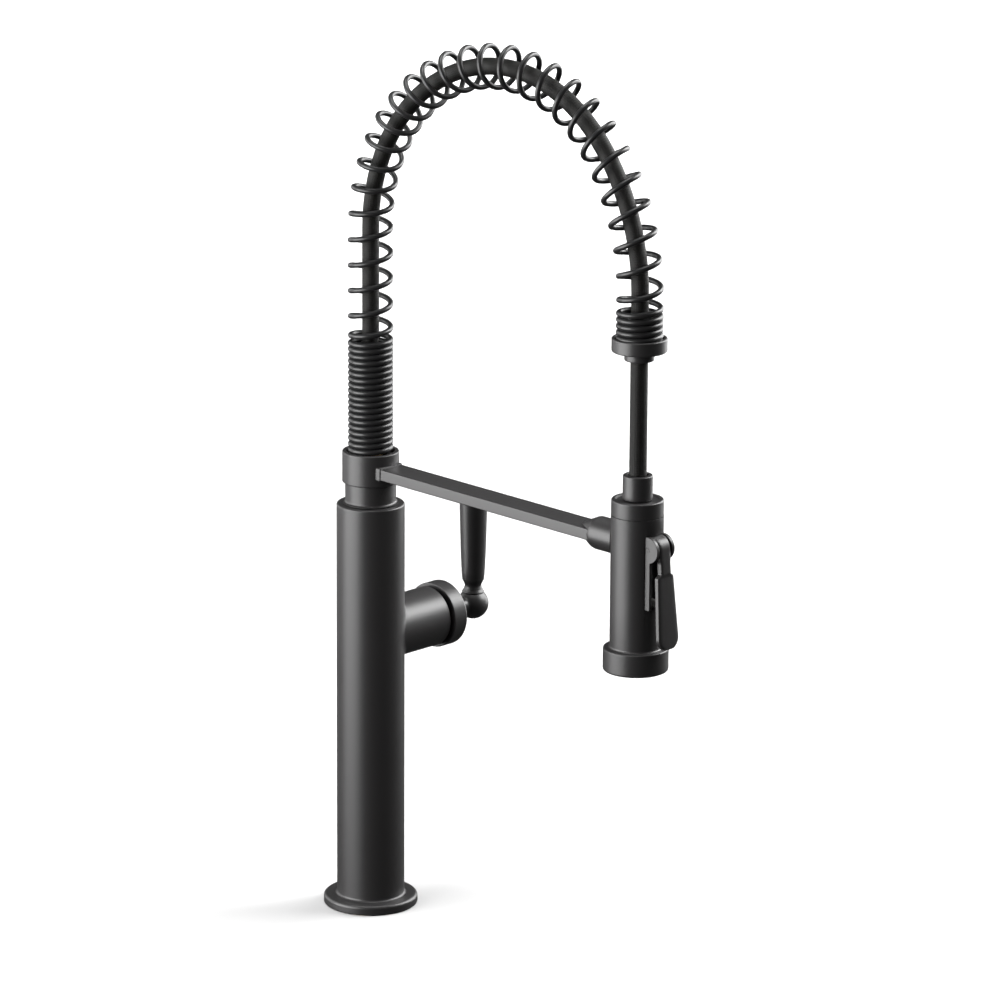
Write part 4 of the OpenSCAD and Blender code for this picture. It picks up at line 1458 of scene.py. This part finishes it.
    def aerator(self) -> Grid:
        """The aerator's tube, rolled in at its mouth."""
        low, high = node_box("aerator")
        outer, inner = (high[0] - low[0]) / 2, 5.6
        return revolve(rounded([(inner, low[2], 0.4), (outer, low[2], 0.5), (outer, high[2], 0),
                                (inner, high[2], 0)]), self.plan.head_seat, segments=96)

    def bracket(self) -> bpy.types.Object:
        """The lever's bracket: a welded copy of its frame node, with its edges broken."""
        piece = bpy.data.objects.new("hinge_bracket", frame["nodes"]["lever_bracket"].data.copy())
        bpy.context.scene.collection.objects.link(piece)
        welded = bmesh.new()
        welded.from_mesh(piece.data)
        bmesh.ops.remove_doubles(welded, verts=welded.verts, dist=2e-6)
        bmesh.ops.dissolve_limit(welded, angle_limit=math.radians(1), verts=welded.verts, edges=welded.edges)
        welded.to_mesh(piece.data)
        welded.free()
        edges = piece.modifiers.new("broken_edges", "BEVEL")
        edges.width = self.bevel * MM
        edges.segments = 3
        edges.limit_method = "ANGLE"
        edges.angle_limit = math.radians(40)
        return piece

    def lever(self, rows: int = 96, columns: int = 56) -> Grid:
        """The spray lever: a rounded bar whose width and depth change down its length.

        At w below the pivot the bar is a superellipse |x / a|^5 + |y / b|^5 = 1. Its half
        width a follows knuckle, neck, shoulder and tip, and its front and back follow the
        knuckle's circle down to the flat paddle. Smooth steps, 3 t^2 - 2 t^3, lead from
        each width to the next. Everything is then turned by the paddle's slope.

        Args:
            rows: How many rows the paddle has between the pivot and its round tip.
            columns: How many points each section has.

        Returns:
            The surface.
        """
        end, tip_start = self.paddle_length, self.paddle_length - self.tip_round
        w = np.concatenate([-self.knuckle_r * np.cos(np.linspace(0, math.pi / 2, 20)),
                            np.linspace(0, tip_start, rows)[1:],
                            tip_start + self.tip_round * np.sin(np.linspace(0, math.pi / 2, 24)[1:])])

        def step(start: float, stop: float) -> Points:
            share = np.clip((w - start) / (stop - start), 0, 1)
            return share * share * (3 - 2 * share)

        circle = np.sqrt(np.maximum(self.knuckle_r**2 - np.minimum(w, 0)**2, 0))
        front = -circle + self.paddle_step * step(*self.shoulder)
        back_step = step(4.0, 8.0)
        back = np.minimum(circle, self.knuckle_back) * (1 - back_step) - self.paddle_back * back_step
        widening = (self.tip_half - self.shoulder_half) * np.clip(
            (w - self.shoulder[1]) / (tip_start - self.shoulder[1]), 0, 1)
        half = self.knuckle_half + (self.neck_half - self.knuckle_half) * step(5.0, 8.5)
        half = half + (self.shoulder_half - self.neck_half) * step(*self.shoulder) + widening
        into = np.clip(w - tip_start, 0, self.tip_round)
        half = half - self.tip_round + np.sqrt(np.maximum(self.tip_round**2 - into**2, 0))
        thin = np.sqrt(np.maximum(1 - (np.clip(w - end + 0.8, 0, 0.8) / 0.8)**2, 0))
        middle, depth = (front + back) / 2, (back - front) / 2 * thin
        t = turn_angles(columns)[None]
        x = half[:, None] * np.sign(np.cos(t)) * np.abs(np.cos(t))**0.4
        y = middle[:, None] + depth[:, None] * np.sign(np.sin(t)) * np.abs(np.sin(t))**0.4
        x[[0, -1]], y[0], y[-1] = 0, middle[0], middle[-1]
        slope = math.radians(self.paddle_slope)
        z = -w[:, None]
        y, z = y * math.cos(slope) + z * math.sin(slope), z * math.cos(slope) - y * math.sin(slope)
        seat = Seat((0, -self.plan.reach - self.lever_out, self.lever_z))
        return Grid(seat.place(x, y, z))

    def plunger(self) -> Grid:
        """The plunger: a pin with a rounded tip."""
        low, high = node_box("plunger")
        r = self.plan.plunger_r
        seat = Seat((0, -self.plan.reach, self.plan.plunger_z), x=(1, 0, 0), y=(0, 0, 1), z=(0, -1, 0))
        start, tip = -high[1] - self.plan.reach, -low[1] - self.plan.reach
        return revolve(rounded([(0, start, 0), (r, start, 0.2), (r, tip, 1.0), (0, tip, 0)]),
                       seat, closed=False, segments=48)

    def make(self) -> None:
        """Makes the spray head's pieces."""
        build, body = self.bench.build, Body.SPRAY_HEAD
        build(Part("cap_ring", body, Slot.SATIN_BLACK, ("head_cap",)), [self.cap()])
        self.bench.finish(self.shell(), Part("head_tube", body, Slot.SATIN_BLACK, ("head_shell",)))
        build(Part("rim_band", body, Slot.SATIN_BLACK, ("nozzle_ring",)), [self.ring()])
        build(Part("soft_nozzles", body, Slot.NOZZLE_RUBBER, ("spray_face",)), self.spray_face())
        build(Part("aerator_tube", body, Slot.STEEL, ("aerator",)), [self.aerator()])
        self.bench.finish(self.bracket(), Part("hinge_bracket", body, Slot.SATIN_BLACK, ("lever_bracket",)))
        build(Part("spray_paddle", Body.SPRAY_LEVER, Slot.SATIN_BLACK, ("spray_lever",)), [self.lever()])
        build(Part("plunger_pin", Body.PLUNGER, Slot.CARTRIDGE_PLASTIC, ("plunger",)), [self.plunger()])


# ---- the stage ---------------------------------------------------------------


@dataclass(frozen=True)
class SoftBox:
    """A studio light: its name, place, aim, two sides, power in watts and spread in degrees."""

    name: str
    place: tuple[float, float, float]
    aim: tuple[float, float, float]
    width: float
    height: float
    watts: float
    spread: float = 180.0

    def make(self) -> None:
        """Makes the light and turns it to its aim."""
        light = bpy.data.lights.new(self.name, "AREA")
        light.shape = "RECTANGLE"
        light.size, light.size_y = self.width * MM, self.height * MM
        light.energy, light.spread = self.watts, math.radians(self.spread)
        holder = bpy.data.objects.new(self.name, light)
        holder.location = Vector(self.place) * MM
        holder.rotation_euler = (Vector(self.aim) - Vector(self.place)).to_track_quat("-Z", "Y").to_euler()
        bpy.context.scene.collection.objects.link(holder)


@dataclass(frozen=True)
class Camera:
    """The camera: how far it stands off, its angles and its lens."""

    distance: float = 3555.0
    azimuth: float = -45.0
    elevation: float = 14.709
    aim_height: float = 315.5
    aim_side: float = 1.75
    lens: float = 201.33
    shift: tuple[float, float] = (0.1256, -0.0690)

    def make(self) -> None:
        """Stands the camera off its aim and makes it the scene's camera."""
        a, e = math.radians(self.azimuth), math.radians(self.elevation)
        back = Vector((math.sin(a) * math.cos(e), -math.cos(a) * math.cos(e), math.sin(e)))
        side = Vector((math.cos(a), math.sin(a), 0))
        data = bpy.data.cameras.new("camera")
        data.lens, data.sensor_width = self.lens, 36.0
        data.shift_x, data.shift_y = self.shift
        data.clip_start, data.clip_end = 0.1, 30.0
        holder = bpy.data.objects.new("camera", data)
        aim = Vector((0, 0, self.aim_height)) + side * self.aim_side
        holder.location = (aim + back * self.distance) * MM
        holder.rotation_mode = "QUATERNION"
        holder.rotation_quaternion = (-back).to_track_quat("-Z", "Y")
        bpy.context.scene.collection.objects.link(holder)
        bpy.context.scene.camera = holder


@dataclass
class Studio:
    """Floor, lights and camera."""

    camera: Camera = Camera()
    floor_half: float = 6000.0
    floor_colour: Colour = (0.65, 0.65, 0.65)
    world_colour: Colour = (1.0, 1.0, 1.0)
    world_strength: float = 0.06
    lights: tuple[SoftBox, ...] = (
        SoftBox("overhead", (200, 200, 3000), (200, 200, 0), 1500, 1500, 55),
        SoftBox("backdrop", (2900, 2900, 3200), (2900, 2900, 0), 3600, 3600, 190, spread=75),
        SoftBox("left_panel", (-1370, 600, 420), (0, 0, 260), 1750, 1500, 62),
        SoftBox("left_edge", (-250, 1900, 500), (0, 0, 260), 1300, 1400, 12),
        SoftBox("right_key", (1240, -730, 1180), (0, -60, 200), 900, 800, 32),
        SoftBox("right_rim", (1680, -150, 560), (0, 0, 260), 1200, 1300, 26),
    )

    def make(self) -> None:
        """Makes the stage."""
        self.make_floor()
        self.make_world()
        for light in self.lights:
            light.make()
        self.camera.make()
        bpy.context.scene.view_settings.view_transform = "Standard"

    def make_floor(self) -> None:
        """A plain pale floor, which the pieces don't mirror."""
        h = self.floor_half * MM
        mesh = bpy.data.meshes.new("floor")
        mesh.from_pydata([(-h, -h, 0), (h, -h, 0), (h, h, 0), (-h, h, 0)], [], [(0, 1, 2, 3)])
        floor = bpy.data.objects.new("floor", mesh)
        floor.data.materials.append(Graph("floor", {
            "Base Color": (*self.floor_colour, 1.0), "Roughness": 0.9}).material)
        floor.visible_glossy = False
        floor.visible_diffuse = False
        bpy.context.scene.collection.objects.link(floor)

    def make_world(self) -> None:
        """An even, dim light from everywhere."""
        world = bpy.data.worlds.new("studio")
        world.use_nodes = True
        background = world.node_tree.nodes["Background"]
        background.inputs["Color"].default_value = (*self.world_colour, 1.0)
        background.inputs["Strength"].default_value = self.world_strength
        bpy.context.scene.world = world


def main() -> None:
    """Builds the stage, then the sub-assemblies, then dresses what the frame still shows."""
    logging.basicConfig(level=logging.INFO, format="%(name)s: %(message)s")
    Studio().make()
    plan = Plan.read()
    shop = PaintShop()
    bench = Bench(shop)
    column = Column(plan, bench)
    column.make()
    MixingValve(plan, bench, column.radius).make()
    SpoutArm(plan, bench).make()
    arch = Arch(plan)
    ArchSpring(plan, bench, arch).make()
    SprayHose(plan, bench, arch).make()
    SprayHead(plan, bench).make()
    shop.dress_frame_nodes()


if __name__ == "__main__":
    main()
